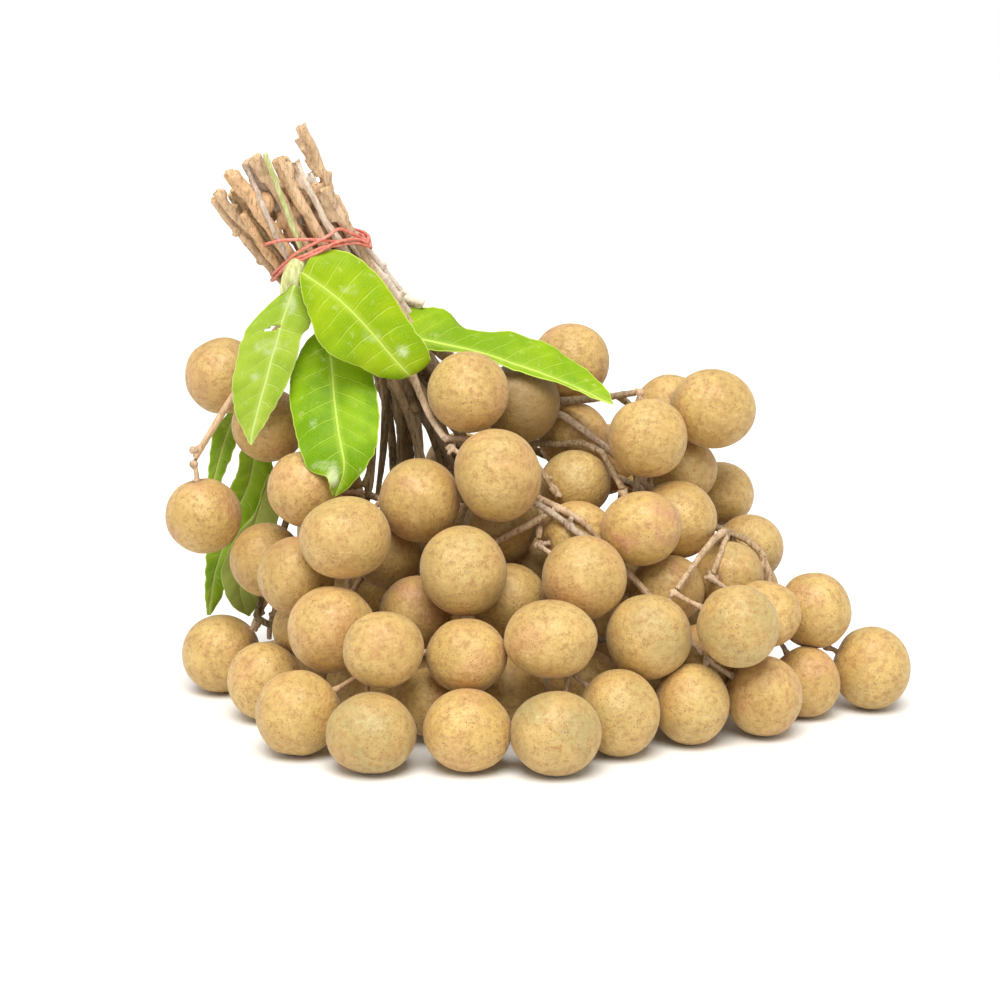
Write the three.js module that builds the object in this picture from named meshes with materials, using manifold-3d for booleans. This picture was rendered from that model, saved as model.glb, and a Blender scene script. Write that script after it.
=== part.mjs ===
// Longan bunch: cut woody stems held by one rubber band, with their fruit heaped below and a few leaves.
//
// Millimetres, +Z up. The bunch rests on its fruit on the plane Z = 0, and its cut stems lean up and left.
// -Y is the front of the heap and +X is its right.
import * as THREE from "three";
import { mergeVertices } from "three/addons/utils/BufferGeometryUtils.js";
import Module from "manifold-3d";

const wasm = await Module();
wasm.setup();

// ---------------------------------------------------------------- driving dimensions

const TOUCH_GAP = 0.3; // left between two pieces that touch
const MERGE_TOLERANCE = 1e-4;
const FRUIT_DETAIL = 1; // icosahedron subdivisions of a fruit

// The heap is laid out on a drawing sheet that faces a viewer standing in front of it, a little above it.
// A place is [across, rise, back]: where it shows on the sheet, and how far behind the front row it lies.
const VIEW_TILT = THREE.MathUtils.degToRad(12);
const VIEW_DISTANCE = 650;
const SHEET_CENTRE = new THREE.Vector3(0, 0, 85.3);
const BASE_MIDDLE = new THREE.Vector3(12.8, 57.6, 0); // of the finished bunch, where its origin is put

const SIGHT = new THREE.Vector3(0, Math.cos(VIEW_TILT), -Math.sin(VIEW_TILT));
const SHEET_UP = new THREE.Vector3(0, Math.sin(VIEW_TILT), Math.cos(VIEW_TILT));
const EYE = SHEET_CENTRE.clone().addScaledVector(SIGHT, -VIEW_DISTANCE);

// ---------------------------------------------------------------- fruit
// number: [across, rise, diameter, back]. A fruit with no back lies on the surface.
const FRONT_FRUIT = {
  1: [-85.7, -47.3, 27],
  2: [-72, -55.5, 25.6],
  3: [-62, -65.4, 27.4],
  4: [-39.3, -69.7, 26.6],
  5: [-9.9, -70.3, 26.8],
  6: [17.2, -68.6, 27.4],
  7: [36.7, -64.8, 27],
  8: [58.8, -63.2, 25.4],
  9: [80.7, -60.9, 26],
  10: [93.6, -55.3, 23.4],
  11: [114.2, -52.5, 27],
  12: [-36.1, -46, 25, 14],
  13: [-10.3, -47.9, 25, 14],
  14: [15.7, -42.4, 27.5, 17],
  15: [45.4, -42.1, 27.5, 22],
  16: [-51.6, -39.6, 28.2, 24],
  17: [73.2, -38.7, 26.8, 30],
  18: [81.4, -34.7, 23, 50],
  19: [96.4, -34.1, 25.4, 52],
  20: [62.3, -49.1, 24, 44],
  21: [-22.1, -62, 23, 24],
  22: [-62.3, -23.6, 25.8, 46],
  23: [-71.8, -18.4, 24.5, 60],
  24: [-59.6, -38.7, 22.5, 52],
  25: [-25.8, -34.4, 24, 38],
  26: [-11.4, -21.8, 28.8, 32],
  27: [2.5, -30.7, 25, 46],
  28: [26.7, -23.6, 27.6, 38],
  29: [-34.4, -16, 24.5, 60],
  30: [-47.6, -11.7, 28.2, 42],
  31: [51.3, -27.6, 24, 52],
  32: [46, -23, 22.5, 74],
  33: [69.1, -22.4, 24.5, 62],
  34: [43, -9.2, 25.5, 52],
  35: [55, -6.8, 26.6, 64],
  36: [76.4, -15, 24.2, 74],
  37: [66.3, 1.8, 24.2, 88],
  38: [23.9, -11.4, 24, 58],
  39: [9.8, -22.1, 24, 66],
  40: [-24.5, -0.2, 27.6, 52],
  41: [-0.9, 7.4, 29.4, 48],
  42: [-59.9, 3.4, 25.5, 62],
  43: [-53.1, 3.1, 24.5, 80],
  44: [-91.2, -4.8, 26, 72],
  45: [-71.2, 23, 25.5, 80],
  46: [-84.7, 38.1, 26.5, 94],
  47: [0, -8.6, 24.5, 72],
  48: [23, 4.9, 24.2, 78],
  49: [12.6, -3.1, 23, 88],
  50: [-9.8, 33.2, 27.2, 62],
  51: [6.1, 29.8, 27.4, 82],
  52: [21.8, 42.4, 27.2, 100],
  53: [22.7, 19.3, 25.5, 100],
  54: [45.4, 19, 26.8, 66],
  55: [65.4, 27.9, 28, 80],
  56: [52.2, 27.6, 25, 100],
  57: [56.5, 8.6, 23.5, 92],
  58: [47.6, 0, 24, 104],
};

// number: [x, y, z, diameter], for the fruit that lies behind. A fruit with no z lies on the surface.
const BACK_FRUIT = {
  59: [-62, 92, 0, 26],
  60: [-36, 100, 0, 26.5],
  61: [-8, 104, 0, 27],
  62: [20, 106, 0, 26],
  63: [48, 102, 0, 26.5],
  64: [76, 94, 0, 25.5],
  65: [-50, 108, 24, 26],
  66: [-22, 118, 22, 25.5],
  67: [6, 122, 24, 26.5],
  68: [34, 120, 24, 26],
  69: [62, 112, 24, 26],
  70: [-60, 108, 50, 25.5],
  71: [-34, 116, 46, 26.5],
  72: [-6, 122, 48, 26],
  73: [22, 124, 48, 26.5],
  74: [50, 118, 48, 26],
  75: [84, 92, 34, 25],
  76: [-14, 116, 72, 26.5],
  77: [40, 112, 74, 26],
  78: [4, 124, 94, 25.5],
  79: [3, 34, 0, 25],
  80: [28, 46, 0, 25],
  81: [-22, 46, 0, 25],
  82: [56, 58, 0, 24.5],
  83: [2, 66, 0, 25],
  84: [-46, 46, 0, 23.5],
};

const SETTLING_ROUNDS = 600;
const PULL = 0.01; // share of the way back to its own place that a fruit is drawn in the first round
const SHEET_PULL = 40; // times that share for a fruit of the front, in its place on the sheet
const PUSH_SPARE = 0.01; // further than needed, so that two fruits pushed apart stay apart

// The bundle of stems runs through the heap, and the fruit keeps clear of it.
const TIE = [-53, 74.3, 75];
const BUNDLE_END = [-19.6, 24.6, 91];
const BUNDLE_RADIUS = 11;
const BUNDLE_BALLS = 8;

// The stalks of the fruit, and the twigs.
const BEAD_STEP = 2; // between the points at which clear room is measured
const STALK_RADIUS = 1.1;
const STALK_SIDES = 4;
const STALK_LEAST = 3; // least bare length of a stalk
const KNOB_RADIUS = 2;
const FORK_REACHES = [15, 17, 19, 21, 24]; // tried between a fork and the middle of its fruit
const FORK_DIRECTIONS = 300;
const REACH_COST = 2; // of a millimetre of that reach, against one nearer to the core of the heap
const FRUIT_GROUPS = 38;
const CORE = [6, 10, 96]; // a place in the middle of the heap, where the stems go
const THREAD_STEP = 4; // between the beads of a stem while it is threaded through the heap
const THREAD_ROUNDS = 60;
const THREAD_PULL = 0.3; // share of the way that a bead is drawn to the middle of its neighbours in a round
const TWIG_REACH = 60; // longest twig
const TWIG_STARTS = 12; // places where a twig may start, along the last part of a stem
const TWIG_STARTS_SHARE = 0.6; // of the stem's length in that part
const TWIG_BOWS = 12; // directions in which a twig may bow
const TWIG_BOW = 0.3; // how far it bows, as a share of its length
const TWIG_COSTS = { lack: 25, bent: 4, shared: 6 }; // millimetres of length that each is worth

// Fruit that hangs on a stalk of its own, and where that stalk begins.
const SINGLE_FRUIT = [11, 34, 41, 44, 54];
const HAND_FORKS = {
  34: [38, 2, 62],
  41: [-15, 16, 56],
  44: [-94, 11, 72],
  54: [43, 33, 70],
};

// Stems. At the tie and at its cut tip, each lies [aside, deep] from the middle of the bundle.
// It is cut some way above the tie, and parts from the bundle some way below it.
// Its course below the bundle is a list of places, and its last place is where it ends.
const BUNDLE_ASIDE = [0.825, 0.565]; // the bundle's sideways direction on the sheet
const BUNDLE_LENGTH = 36; // from the tie to where most stems part
const STEM_SIDES = 6;
const STEM_STEP = 9;
const TWIG_SIDES = 5;
const TWIG_STEP = 9;
const STEM_END_RADIUS = 1.3;
const LAID_RADIUS = 1.7; // of a stem among the fruit, where it is laid
const TWIG_RADIUS = 1.2;
const TWIG_HEEL = 1.5; // radius of a twig where it leaves its stem
const STEMS = [
  {
    name: "stem_left", tie: [-12.7, -2.2], tip: [-18.2, -2], above: 40, radius: 1.8, parts: 4,
    course: [[-68, 52, 74], [-79, 37, 71], [-84, 30, 68], [-90, 19, 69], [-93.6, 13, 72]],
  },
  {
    name: "stem_thick", tie: [-9, -5.8], tip: [-9.3, -7.4], above: 43, radius: 2.6,
    course: [[-37, 34, 82], [-39, 18, 80], [-39, 0, 74], [-41, -16, 70], [-48, -34, 60]],
  },
  {
    name: "stem_front", tie: [6.6, -6.2], tip: [9, -3.4], above: 34, radius: 2.2,
    course: [[-30, 38, 78], [-20.9, 27, 68], [-17, 19, 58]],
  },
  {
    name: "stem_middle", tie: [-3.6, -5.8], tip: [0.2, -6.6], above: 43.5, radius: 2.3,
    course: [[-27, 30, 84], [-24, 12, 88], [-20, -6, 84], [-14, -26, 76], [-9, -42, 60], [-6, -52, 44]],
  },
  {
    name: "stem_twisted", tie: [1.5, -6.8], tip: [5.4, -6.2], above: 38.5, radius: 2.4,
    course: [[-19, 26, 88], [-6, 14, 88], [5, 4, 72], [10.7, -0.5, 57], [21.8, -5.2, 46], [29.5, -11.5, 47]],
  },
  {
    name: "stem_top", tie: [11, -2.6], tip: [12.4, -3.6], above: 21, radius: 2.5,
    course: [[-7.7, 35.3, 90], [16, 28.2, 86], [30.7, 31.3, 78], [37.5, 31.6, 73], [42, 33, 71]],
  },
  {
    name: "stem_right", tie: [5.2, -0.8], tip: [11.4, 1.4], above: 27, radius: 1.9,
    course: [[-8, 30, 98], [15.4, 24.6, 93], [30.7, 16.3, 84], [48, 10, 84], [62, 2, 84]],
  },
  {
    name: "stem_forked", tie: [9.6, 2.6], tip: [17.2, 1], above: 41.5, radius: 2.3,
    course: [[-4, 22, 100], [18.4, 12.3, 88], [27.6, 11.4, 80], [36.8, 8.4, 70], [38, 2.5, 63]],
  },
  {
    name: "stem_far_right", tie: [4.2, 4.4], tip: [5.4, 5.4], above: 35, radius: 2.2,
    course: [
      [-8, 22, 110], [24, 12, 106], [48, 6, 94], [62, -6, 80], [72, -12, 64], [79, -18.4, 60], [79, -24, 62],
    ],
  },
  {
    name: "stem_back_left", tie: [-10, 2.4], tip: [-13, 1.6], above: 37, radius: 2.1,
    course: [[-48, 34, 98], [-60, 12, 98], [-66, -8, 92], [-72, -26, 80], [-75, -36, 72]],
  },
  {
    name: "stem_back", tie: [-1, 4.8], tip: [-1.6, 6], above: 39, radius: 2.3,
    course: [[-26, 24, 108], [-22, 4, 110], [-18, -16, 108], [-30, -34, 104]],
  },
  {
    name: "stem_core", tie: [-4.6, 0], tip: [-4.4, -2.6], above: 43, radius: 2.2,
    course: [[-18, 18, 98], [-6, -4, 100], [6, -26, 96], [24, -44, 88]],
  },
];

// Green stalks that carry the leaves. They cross the bundle as the stems do.
const STALKS = [
  {
    name: "leaf_stalk_front", tie: [-6.3, -8.8], tip: [3.2, -10.2], above: 43, radius: 1, parts: 8,
    course: [[-61, 64.5, 64]],
  },
  {
    name: "leaf_stalk_back", tie: [-12.6, 2.4], tip: [-15, 4], above: 20, radius: 1.1, parts: 8,
    course: [[-67, 52, 92], [-73, 34, 99], [-76, 24, 101]],
  },
];

// Leaves. Each short leaf stalk starts at a place of its own and runs into the first place of the midrib.
const LEAF_THICKNESS = 0.9;
const LEAF_ALONG = 12; // steps along a blade, and across it
const LEAF_ACROSS = 2;
const LEAF_BLUNTNESS = 0.75; // the smaller, the blunter are both ends of a blade
const LEAF_STALK_RADIUS = 0.9;
const LEAF_STALK_STEP = 4;
const LEAF_ROOT = 0.06; // share of the midrib that the leaf stalk runs into
const LEAVES = [
  {
    name: "leaf_centre", width: 29, heel: 0.62, fold: 0.12, face: [-0.15, -1, 0.35],
    stalk: [-59.9, 67.6, 62.3],
    midrib: [
      [-59, 68.2, 61], [-49.1, 61.1, 58.5], [-36.8, 48.2, 57],
      [-28.5, 39.3, 59], [-26.4, 37.4, 64], [-30, 42, 69.5],
    ],
  },
  {
    name: "leaf_left", width: 23, heel: 0.8, fold: 0.15, face: [0.1, -1, 0.25],
    stalk: [-61.8, 65.5, 62.5],
    midrib: [
      [-63, 63.5, 61.5], [-66.6, 55.3, 61.5], [-69.1, 46, 61],
      [-72.1, 33.8, 60.5], [-74.9, 23, 60], [-76.7, 16.6, 60],
    ],
  },
  {
    name: "leaf_low", width: 27, heel: 0.8, fold: 0.1, face: [0.05, -1, 0.2],
    stalk: [-59.5, 62, 67],
    midrib: [
      [-58.6, 52.6, 68.5], [-52, 39.9, 67.4], [-50.3, 30.7, 61], [-49.1, 21.5, 53],
      [-48.2, 12.3, 48], [-49.1, 5.5, 48], [-51.3, 0.9, 48.6],
    ],
  },
  {
    name: "leaf_right", width: 24, heel: 0.8, fold: 0.1, face: [0, -0.2, 1],
    stalk: [-31.8, 57.8, 74.5],
    midrib: [
      [-29.8, 57.4, 75.5], [-18.4, 53.6, 75.5], [-6.1, 50.2, 74], [6.1, 46, 72],
      [18.4, 39.9, 70], [27.6, 34.4, 68], [34.4, 30, 67],
    ],
  },
  {
    name: "leaf_back_top", width: 12, heel: 0.8, fold: 0.1, face: [0, -1, 0.1],
    stalk: [-77, 25, 103.5],
    midrib: [[-81, 30, 104], [-83.4, 24, 103.5], [-84.7, 17, 102], [-87.5, 6, 99], [-88.4, 0, 96]],
  },
  {
    name: "leaf_back_long", width: 19, heel: 0.8, fold: 0.1, face: [0, -1, 0.1],
    stalk: [-75.5, 21.5, 102],
    midrib: [
      [-75.5, 17.5, 102], [-76.8, 9.2, 102], [-81.4, -3, 101],
      [-86, -15.4, 100], [-88.4, -26, 98], [-89.6, -35.3, 96],
    ],
  },
  {
    name: "leaf_back_low", width: 17, heel: 0.8, fold: 0.1, face: [-0.2, -1, 0.1],
    stalk: [-72.6, 22.5, 98],
    midrib: [
      [-71, 8, 95], [-74, 0, 92], [-77.4, -8, 90],
      [-80.4, -16.4, 89], [-81, -24.6, 89], [-79.2, -32.2, 90],
    ],
  },
];

// The rubber band: one closed ring that winds round the bundle a few times.
const BAND_RADIUS = 0.75;
const BAND_TURNS = 3;
const BAND_SWINGS = 2; // times that the turns change places
const BAND_ROOM = 2.7; // from the outermost stems to the middle of the turns
const BAND_SWING = [1, 3.3]; // of each turn, outwards and along the bundle
const BAND_TILT = 0.33; // along the bundle for each millimetre aside
const BAND_STEPS = 54;
const BAND_SIDES = 5;

// ---------------------------------------------------------------- places

// The point that shows at (across, rise) on the sheet and lies at Y = back.
function at(across, rise, back) {
  const line = SIGHT.clone()
    .multiplyScalar(VIEW_DISTANCE)
    .addScaledVector(SHEET_UP, rise)
    .add(new THREE.Vector3(across, 0, 0));
  return EYE.clone().addScaledVector(line, (back - EYE.y) / line.y);
}

// The same, at the height Z = up.
function atHeight(across, rise, up) {
  const far = at(across, rise, VIEW_DISTANCE);
  return EYE.clone().lerp(far, (up - EYE.z) / (far.z - EYE.z));
}

// ---------------------------------------------------------------- heap

function fruitPlaces() {
  const front = Object.entries(FRONT_FRUIT).map(([number, [across, rise, diameter, back]]) => {
    const radius = diameter / 2;
    const grounded = back === undefined;
    const home = grounded ? atHeight(across, rise, radius) : at(across, rise, back);
    return { number: Number(number), radius, grounded, front: true, home };
  });
  const behind = Object.entries(BACK_FRUIT).map(([number, [x, y, z, diameter]]) => {
    const radius = diameter / 2;
    const home = new THREE.Vector3(x, y, Math.max(z, radius));
    return { number: Number(number), radius, grounded: z === 0, home };
  });
  return [...front, ...behind];
}

// Immovable balls along the bundle of stems.
function bundleBalls() {
  const from = at(...TIE);
  const to = at(...BUNDLE_END);
  return Array.from({ length: BUNDLE_BALLS }, (_, i) => ({
    centre: from.clone().lerp(to, i / (BUNDLE_BALLS - 1)),
    radius: BUNDLE_RADIUS,
    fixed: true,
  }));
}

// Pushes two balls apart until they are clear of each other. Says whether they touched.
function part(a, b) {
  const away = b.centre.clone().sub(a.centre);
  const lack = a.radius + b.radius + TOUCH_GAP - away.length();
  if (lack <= 0) {
    return false;
  }
  away.normalize().multiplyScalar(lack + PUSH_SPARE);
  if (b.fixed) {
    a.centre.sub(away);
  } else {
    a.centre.addScaledVector(away, -0.5);
    b.centre.addScaledVector(away, 0.5);
  }
  return true;
}

// Draws a fruit towards its own place. A fruit of the front keeps its place on the sheet much more than its
// depth behind it.
function drawHome({ centre, home, grounded, front }, pull) {
  if (!front) {
    centre.lerp(home, pull);
    return;
  }
  const inward = grounded ? new THREE.Vector3(0, 1, 0) : home.clone().sub(EYE).normalize();
  const lost = home.clone().sub(centre);
  const depth = inward.multiplyScalar(lost.dot(inward));
  centre.addScaledVector(lost.sub(depth), pull * SHEET_PULL);
  centre.addScaledVector(depth, pull);
}

// Draws every fruit towards its own place while the fruits push each other apart, as in a heap.
function settle() {
  const fruits = fruitPlaces().map((f) => ({ ...f, centre: f.home.clone() }));
  const balls = bundleBalls();
  let touching = true;
  for (let round = 0; touching || round < SETTLING_ROUNDS; round++) {
    const pull = PULL * Math.max(0, 1 - round / SETTLING_ROUNDS);
    touching = false;
    fruits.forEach((fruit, i) => {
      drawHome(fruit, pull);
      for (const other of [...fruits.slice(i + 1), ...balls]) {
        touching = part(fruit, other) || touching;
      }
    });
    for (const { centre, grounded, radius } of fruits) {
      centre.z = grounded ? radius : Math.max(centre.z, radius);
    }
    if (round > 20 * SETTLING_ROUNDS) {
      throw new Error("the heap doesn't settle");
    }
  }
  return fruits;
}

const fruits = settle();

// ---------------------------------------------------------------- clear room between the pieces

const laid = []; // points along the twigs and stems laid so far: { point, radius, owner }

// How far a ball at a point is from the nearest thing. Some fruit is skipped, and so is all that the
// same owner has.
function room(point, radius, skip, owner) {
  let least = point.z - radius;
  for (const fruit of fruits) {
    if (!skip.includes(fruit)) {
      least = Math.min(least, point.distanceTo(fruit.centre) - fruit.radius - radius);
    }
  }
  for (const bead of laid) {
    if (bead.owner !== owner) {
      least = Math.min(least, point.distanceTo(bead.point) - bead.radius - radius);
    }
  }
  return least;
}

function beadsAlong(curve) {
  return curve.getSpacedPoints(Math.max(3, Math.ceil(curve.getLength() / BEAD_STEP)));
}

function lay(curve, radius, owner) {
  for (const point of beadsAlong(curve)) {
    laid.push({ point, radius, owner });
  }
}

// Evenly spread directions on a ball.
function directions(count) {
  const golden = Math.PI * (3 - Math.sqrt(5));
  return Array.from({ length: count }, (_, i) => {
    const z = 1 - (2 * i + 1) / count;
    const flat = Math.sqrt(1 - z * z);
    return new THREE.Vector3(flat * Math.cos(i * golden), flat * Math.sin(i * golden), z);
  });
}

// ---------------------------------------------------------------- solids

function toSolid(geometry) {
  const bare = geometry.index ? geometry.toNonIndexed() : geometry.clone();
  bare.deleteAttribute("normal");
  bare.deleteAttribute("uv");
  const merged = mergeVertices(bare, MERGE_TOLERANCE);
  return new wasm.Manifold(
    new wasm.Mesh({
      numProp: 3,
      vertProperties: new Float32Array(merged.attributes.position.array),
      triVerts: new Uint32Array(merged.index.array),
    }),
  );
}

function toGeometry(manifold) {
  const mesh = manifold.getMesh();
  const geometry = new THREE.BufferGeometry();
  geometry.setAttribute("position", new THREE.BufferAttribute(new Float32Array(mesh.vertProperties), 3));
  geometry.setIndex(new THREE.BufferAttribute(new Uint32Array(mesh.triVerts), 1));
  return geometry;
}

function largestPiece(manifold) {
  const pieces = manifold.decompose();
  return pieces.reduce((best, piece) => (piece.volume() > best.volume() ? piece : best));
}

// A round ball with one corner straight down, so that it touches the surface it lies on.
function ball(centre, radius, detail = FRUIT_DETAIL) {
  const geometry = new THREE.IcosahedronGeometry(radius, detail);
  geometry.rotateX(Math.atan(2 / (1 + Math.sqrt(5))));
  geometry.translate(...centre.toArray());
  return toSolid(geometry);
}

// A tube along a curve, drawn in evenly from one radius to another.
function tube(curve, radius, endRadius, sides, step) {
  const corners = Array.from({ length: sides }, (_, i) => {
    const turn = (2 * Math.PI * i) / sides;
    return new THREE.Vector2(radius * Math.cos(turn), radius * Math.sin(turn));
  });
  const steps = Math.max(1, Math.round(curve.getLength() / step));
  const geometry = new THREE.ExtrudeGeometry(new THREE.Shape(corners), {
    steps,
    bevelEnabled: false,
    extrudePath: curve,
  });
  const rings = curve.getSpacedPoints(steps);
  const position = geometry.attributes.position;
  for (let i = 0; i < position.count; i++) {
    const corner = new THREE.Vector3().fromBufferAttribute(position, i);
    const gaps = rings.map((ring) => Math.abs(ring.distanceTo(corner) - radius));
    const ring = gaps.indexOf(Math.min(...gaps));
    const scale = THREE.MathUtils.lerp(1, endRadius / radius, ring / steps);
    corner.lerpVectors(rings[ring], corner, scale);
    position.setXYZ(i, ...corner.toArray());
  }
  return toSolid(geometry);
}

// ---------------------------------------------------------------- fruit on its forked stalks

// Neighbours share a forked stalk, and some fruit hangs on one of its own.
function groupFruit() {
  const groups = fruits.filter((f) => SINGLE_FRUIT.includes(f.number)).map((f) => [f]);
  let loose = fruits.filter((f) => !SINGLE_FRUIT.includes(f.number));
  while (groups.length < FRUIT_GROUPS) {
    let nearest = Infinity;
    let pair = null;
    loose.forEach((a, i) => {
      for (const b of loose.slice(i + 1)) {
        const distance = a.centre.distanceTo(b.centre);
        if (distance < nearest) {
          nearest = distance;
          pair = [a, b];
        }
      }
    });
    groups.push(pair);
    loose = loose.filter((f) => !pair.includes(f));
  }
  for (const fruit of loose) {
    const apart = (group) => Math.max(...group.map((f) => f.centre.distanceTo(fruit.centre)));
    const pairs = groups.filter((group) => group.length === 2);
    pairs.reduce((best, group) => (apart(group) < apart(best) ? group : best)).push(fruit);
  }
  return groups;
}

// Looks for the place nearest the core of the heap where a group's stalks can meet, with clear room for each.
function forkPlace(group) {
  const middle = new THREE.Vector3();
  group.forEach((f) => middle.addScaledVector(f.centre, 1 / group.length));
  const core = at(...CORE);
  let best = null;
  for (const reach of FORK_REACHES) {
    for (const direction of directions(FORK_DIRECTIONS)) {
      const fork = middle.clone().addScaledVector(direction, reach);
      const bare = Math.min(...group.map((f) => f.centre.distanceTo(fork) - f.radius));
      if (bare < STALK_LEAST || room(fork, KNOB_RADIUS, group) < TOUCH_GAP) {
        continue;
      }
      const clear = group.every((f) => {
        const leg = beadsAlong(new THREE.LineCurve3(fork, f.centre));
        return leg.every((bead) => room(bead, STALK_RADIUS, [f]) > TOUCH_GAP);
      });
      const cost = fork.distanceTo(core) + REACH_COST * reach;
      if (clear && (!best || cost < best.cost)) {
        best = { fork, cost };
      }
    }
  }
  return best.fork;
}

function layFork(group) {
  const byHand = HAND_FORKS[group[0].number];
  const fork = byHand ? at(...byHand) : forkPlace(group);
  const legs = group.map((fruit) => new THREE.LineCurve3(fork, fruit.centre));
  laid.push({ point: fork, radius: KNOB_RADIUS });
  legs.forEach((leg) => lay(leg, STALK_RADIUS));
  return { group, fork, legs, byHand };
}

// ---------------------------------------------------------------- stems

const TIE_POINT = at(...TIE);
const DOWN = at(...BUNDLE_END).sub(TIE_POINT).normalize();
const ASIDE = at(TIE[0] + BUNDLE_ASIDE[0], TIE[1] + BUNDLE_ASIDE[1], TIE[2]).sub(TIE_POINT).normalize();
const DEEP = new THREE.Vector3().crossVectors(ASIDE, DOWN).normalize();

// A point of the bundle, some way below the tie, [aside, deep] from its middle.
function inBundle(below, [aside, deep]) {
  const point = TIE_POINT.clone().addScaledVector(DOWN, below);
  return point.addScaledVector(ASIDE, aside).addScaledVector(DEEP, deep);
}

// Pushes a bead of a twig out of the fruit and of the twigs beside it.
function pushClear(bead, radius, owner) {
  for (const fruit of fruits) {
    const away = bead.clone().sub(fruit.centre);
    const lack = fruit.radius + radius + 2 * TOUCH_GAP - away.length();
    if (lack > 0) {
      bead.addScaledVector(away.normalize(), lack);
    }
  }
  for (const other of laid) {
    const away = bead.clone().sub(other.point);
    const lack = other.radius + radius + 2 * TOUCH_GAP - away.length();
    if (lack > 0 && other.owner !== owner) {
      bead.addScaledVector(away.normalize(), 0.5 * lack);
    }
  }
}

// Threads a course between the fruit: its beads are pushed clear and drawn straight by turns.
function thread(points, radius, held, owner) {
  const line = new THREE.CatmullRomCurve3(points);
  const count = Math.ceil(line.getLength() / THREAD_STEP);
  const beads = line.getSpacedPoints(count);
  const first = beads.findIndex((b) => b.distanceTo(points[0]) > held);
  for (let round = 0; round < THREAD_ROUNDS; round++) {
    for (let i = first; i < beads.length - 1; i++) {
      const between = beads[i - 1].clone().lerp(beads[i + 1], 0.5);
      beads[i].lerp(between, THREAD_PULL);
      pushClear(beads[i], radius, owner);
    }
  }
  return new THREE.CatmullRomCurve3(beads);
}

function layStem(stem) {
  const { tie, tip, above, parts = BUNDLE_LENGTH, course } = stem;
  const held = [inBundle(-above, tip), inBundle(0, tie), inBundle(parts, tie)];
  const points = [...held, ...course.map((place) => at(...place))];
  const curve = thread(points, LAID_RADIUS, above + parts, stem.name);
  lay(curve, LAID_RADIUS, stem.name);
  return { ...stem, curve, twigs: [] };
}

const forks = groupFruit().map(layFork);
const stems = STEMS.map(layStem);

// The ways from a stem to a fork: straight, or bowed to any side.
function waysTo(fork, from) {
  const towards = fork.clone().sub(from).normalize();
  const to = fork.clone().addScaledVector(towards, -(KNOB_RADIUS + TOUCH_GAP));
  return [new THREE.Vector3(), ...directions(TWIG_BOWS)].map((bow) => {
    const middle = from.clone().lerp(to, 0.5).addScaledVector(bow, TWIG_BOW * from.distanceTo(fork));
    return { curve: new THREE.QuadraticBezierCurve3(from, middle, to), bent: bow.length() };
  });
}

// Lays a twig to a fork from one of the stems, by the way that is short, clear and little bent.
function layTwig({ fork }) {
  let best = { cost: Infinity };
  for (const stem of stems) {
    for (let i = 0; i < TWIG_STARTS; i++) {
      const from = stem.curve.getPointAt(1 - (TWIG_STARTS_SHARE * i) / TWIG_STARTS);
      const reach = from.distanceTo(fork);
      const ways = reach > 2 * KNOB_RADIUS && reach < TWIG_REACH ? waysTo(fork, from) : [];
      for (const { curve, bent } of ways) {
        const beads = beadsAlong(curve).slice(0, -1);
        const lack = TOUCH_GAP - Math.min(...beads.map((bead) => room(bead, TWIG_RADIUS, [], stem.name)));
        const { lack: lackCost, bent: bentCost, shared: sharedCost } = TWIG_COSTS;
        const cost = reach + lackCost * Math.max(0, lack) + bentCost * bent + sharedCost * stem.twigs.length;
        if (cost < best.cost) {
          best = { stem, curve, cost };
        }
      }
    }
  }
  best.stem.twigs.push(best.curve);
  lay(best.curve, TWIG_RADIUS, best.stem.name);
}

forks.filter(({ byHand }) => !byHand).forEach(layTwig);

// ---------------------------------------------------------------- leaves

// Half the width of a blade at a share of its length, for a leaf one millimetre wide.
// The smaller the heel, the sooner the blade broadens.
function halfWidth(share, heel) {
  return 0.5 * Math.max(0, Math.sin(Math.PI * share ** heel)) ** LEAF_BLUNTNESS;
}

// The sideways direction at each step along a blade. It turns as little as it can from one step to the next.
function sidesAlong(line, face) {
  let aside = new THREE.Vector3(...face).cross(line.getTangentAt(0));
  return Array.from({ length: LEAF_ALONG + 1 }, (_, i) => {
    aside = aside.clone().projectOnPlane(line.getTangentAt(i / LEAF_ALONG)).normalize();
    return aside;
  });
}

function leafSolid({ width, heel, fold, face, stalk, midrib }) {
  const points = midrib.map((place) => at(...place));
  const line = new THREE.CatmullRomCurve3(points);
  const sides = sidesAlong(line, face);
  const geometry = new THREE.BoxGeometry(1, 2, LEAF_THICKNESS, LEAF_ALONG, LEAF_ACROSS, 1);
  const position = geometry.attributes.position;
  for (let i = 0; i < position.count; i++) {
    const corner = new THREE.Vector3().fromBufferAttribute(position, i);
    const share = THREE.MathUtils.clamp(corner.x + 0.5, 0, 1);
    const half = Math.max(width * halfWidth(share, heel), LEAF_STALK_RADIUS / 2);
    const aside = sides[Math.round(share * LEAF_ALONG)];
    const up = new THREE.Vector3().crossVectors(line.getTangentAt(share), aside);
    const place = line
      .getPointAt(share)
      .addScaledVector(aside, corner.y * half)
      .addScaledVector(up, corner.z + Math.abs(corner.y) * half * fold);
    position.setXYZ(i, ...place.toArray());
  }
  const stalkLine = new THREE.CatmullRomCurve3([at(...stalk), points[0], line.getPointAt(LEAF_ROOT)]);
  return toSolid(geometry).add(tube(stalkLine, LEAF_STALK_RADIUS, LEAF_STALK_RADIUS, 6, LEAF_STALK_STEP));
}

// ---------------------------------------------------------------- rubber band

// How far the stems reach from the middle of the bundle, at the tie.
function bundleReach() {
  const rods = [...STEMS, ...STALKS];
  return [0, 1].map((side) => Math.max(...rods.map((rod) => Math.abs(rod.tie[side]) + rod.radius)));
}

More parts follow.
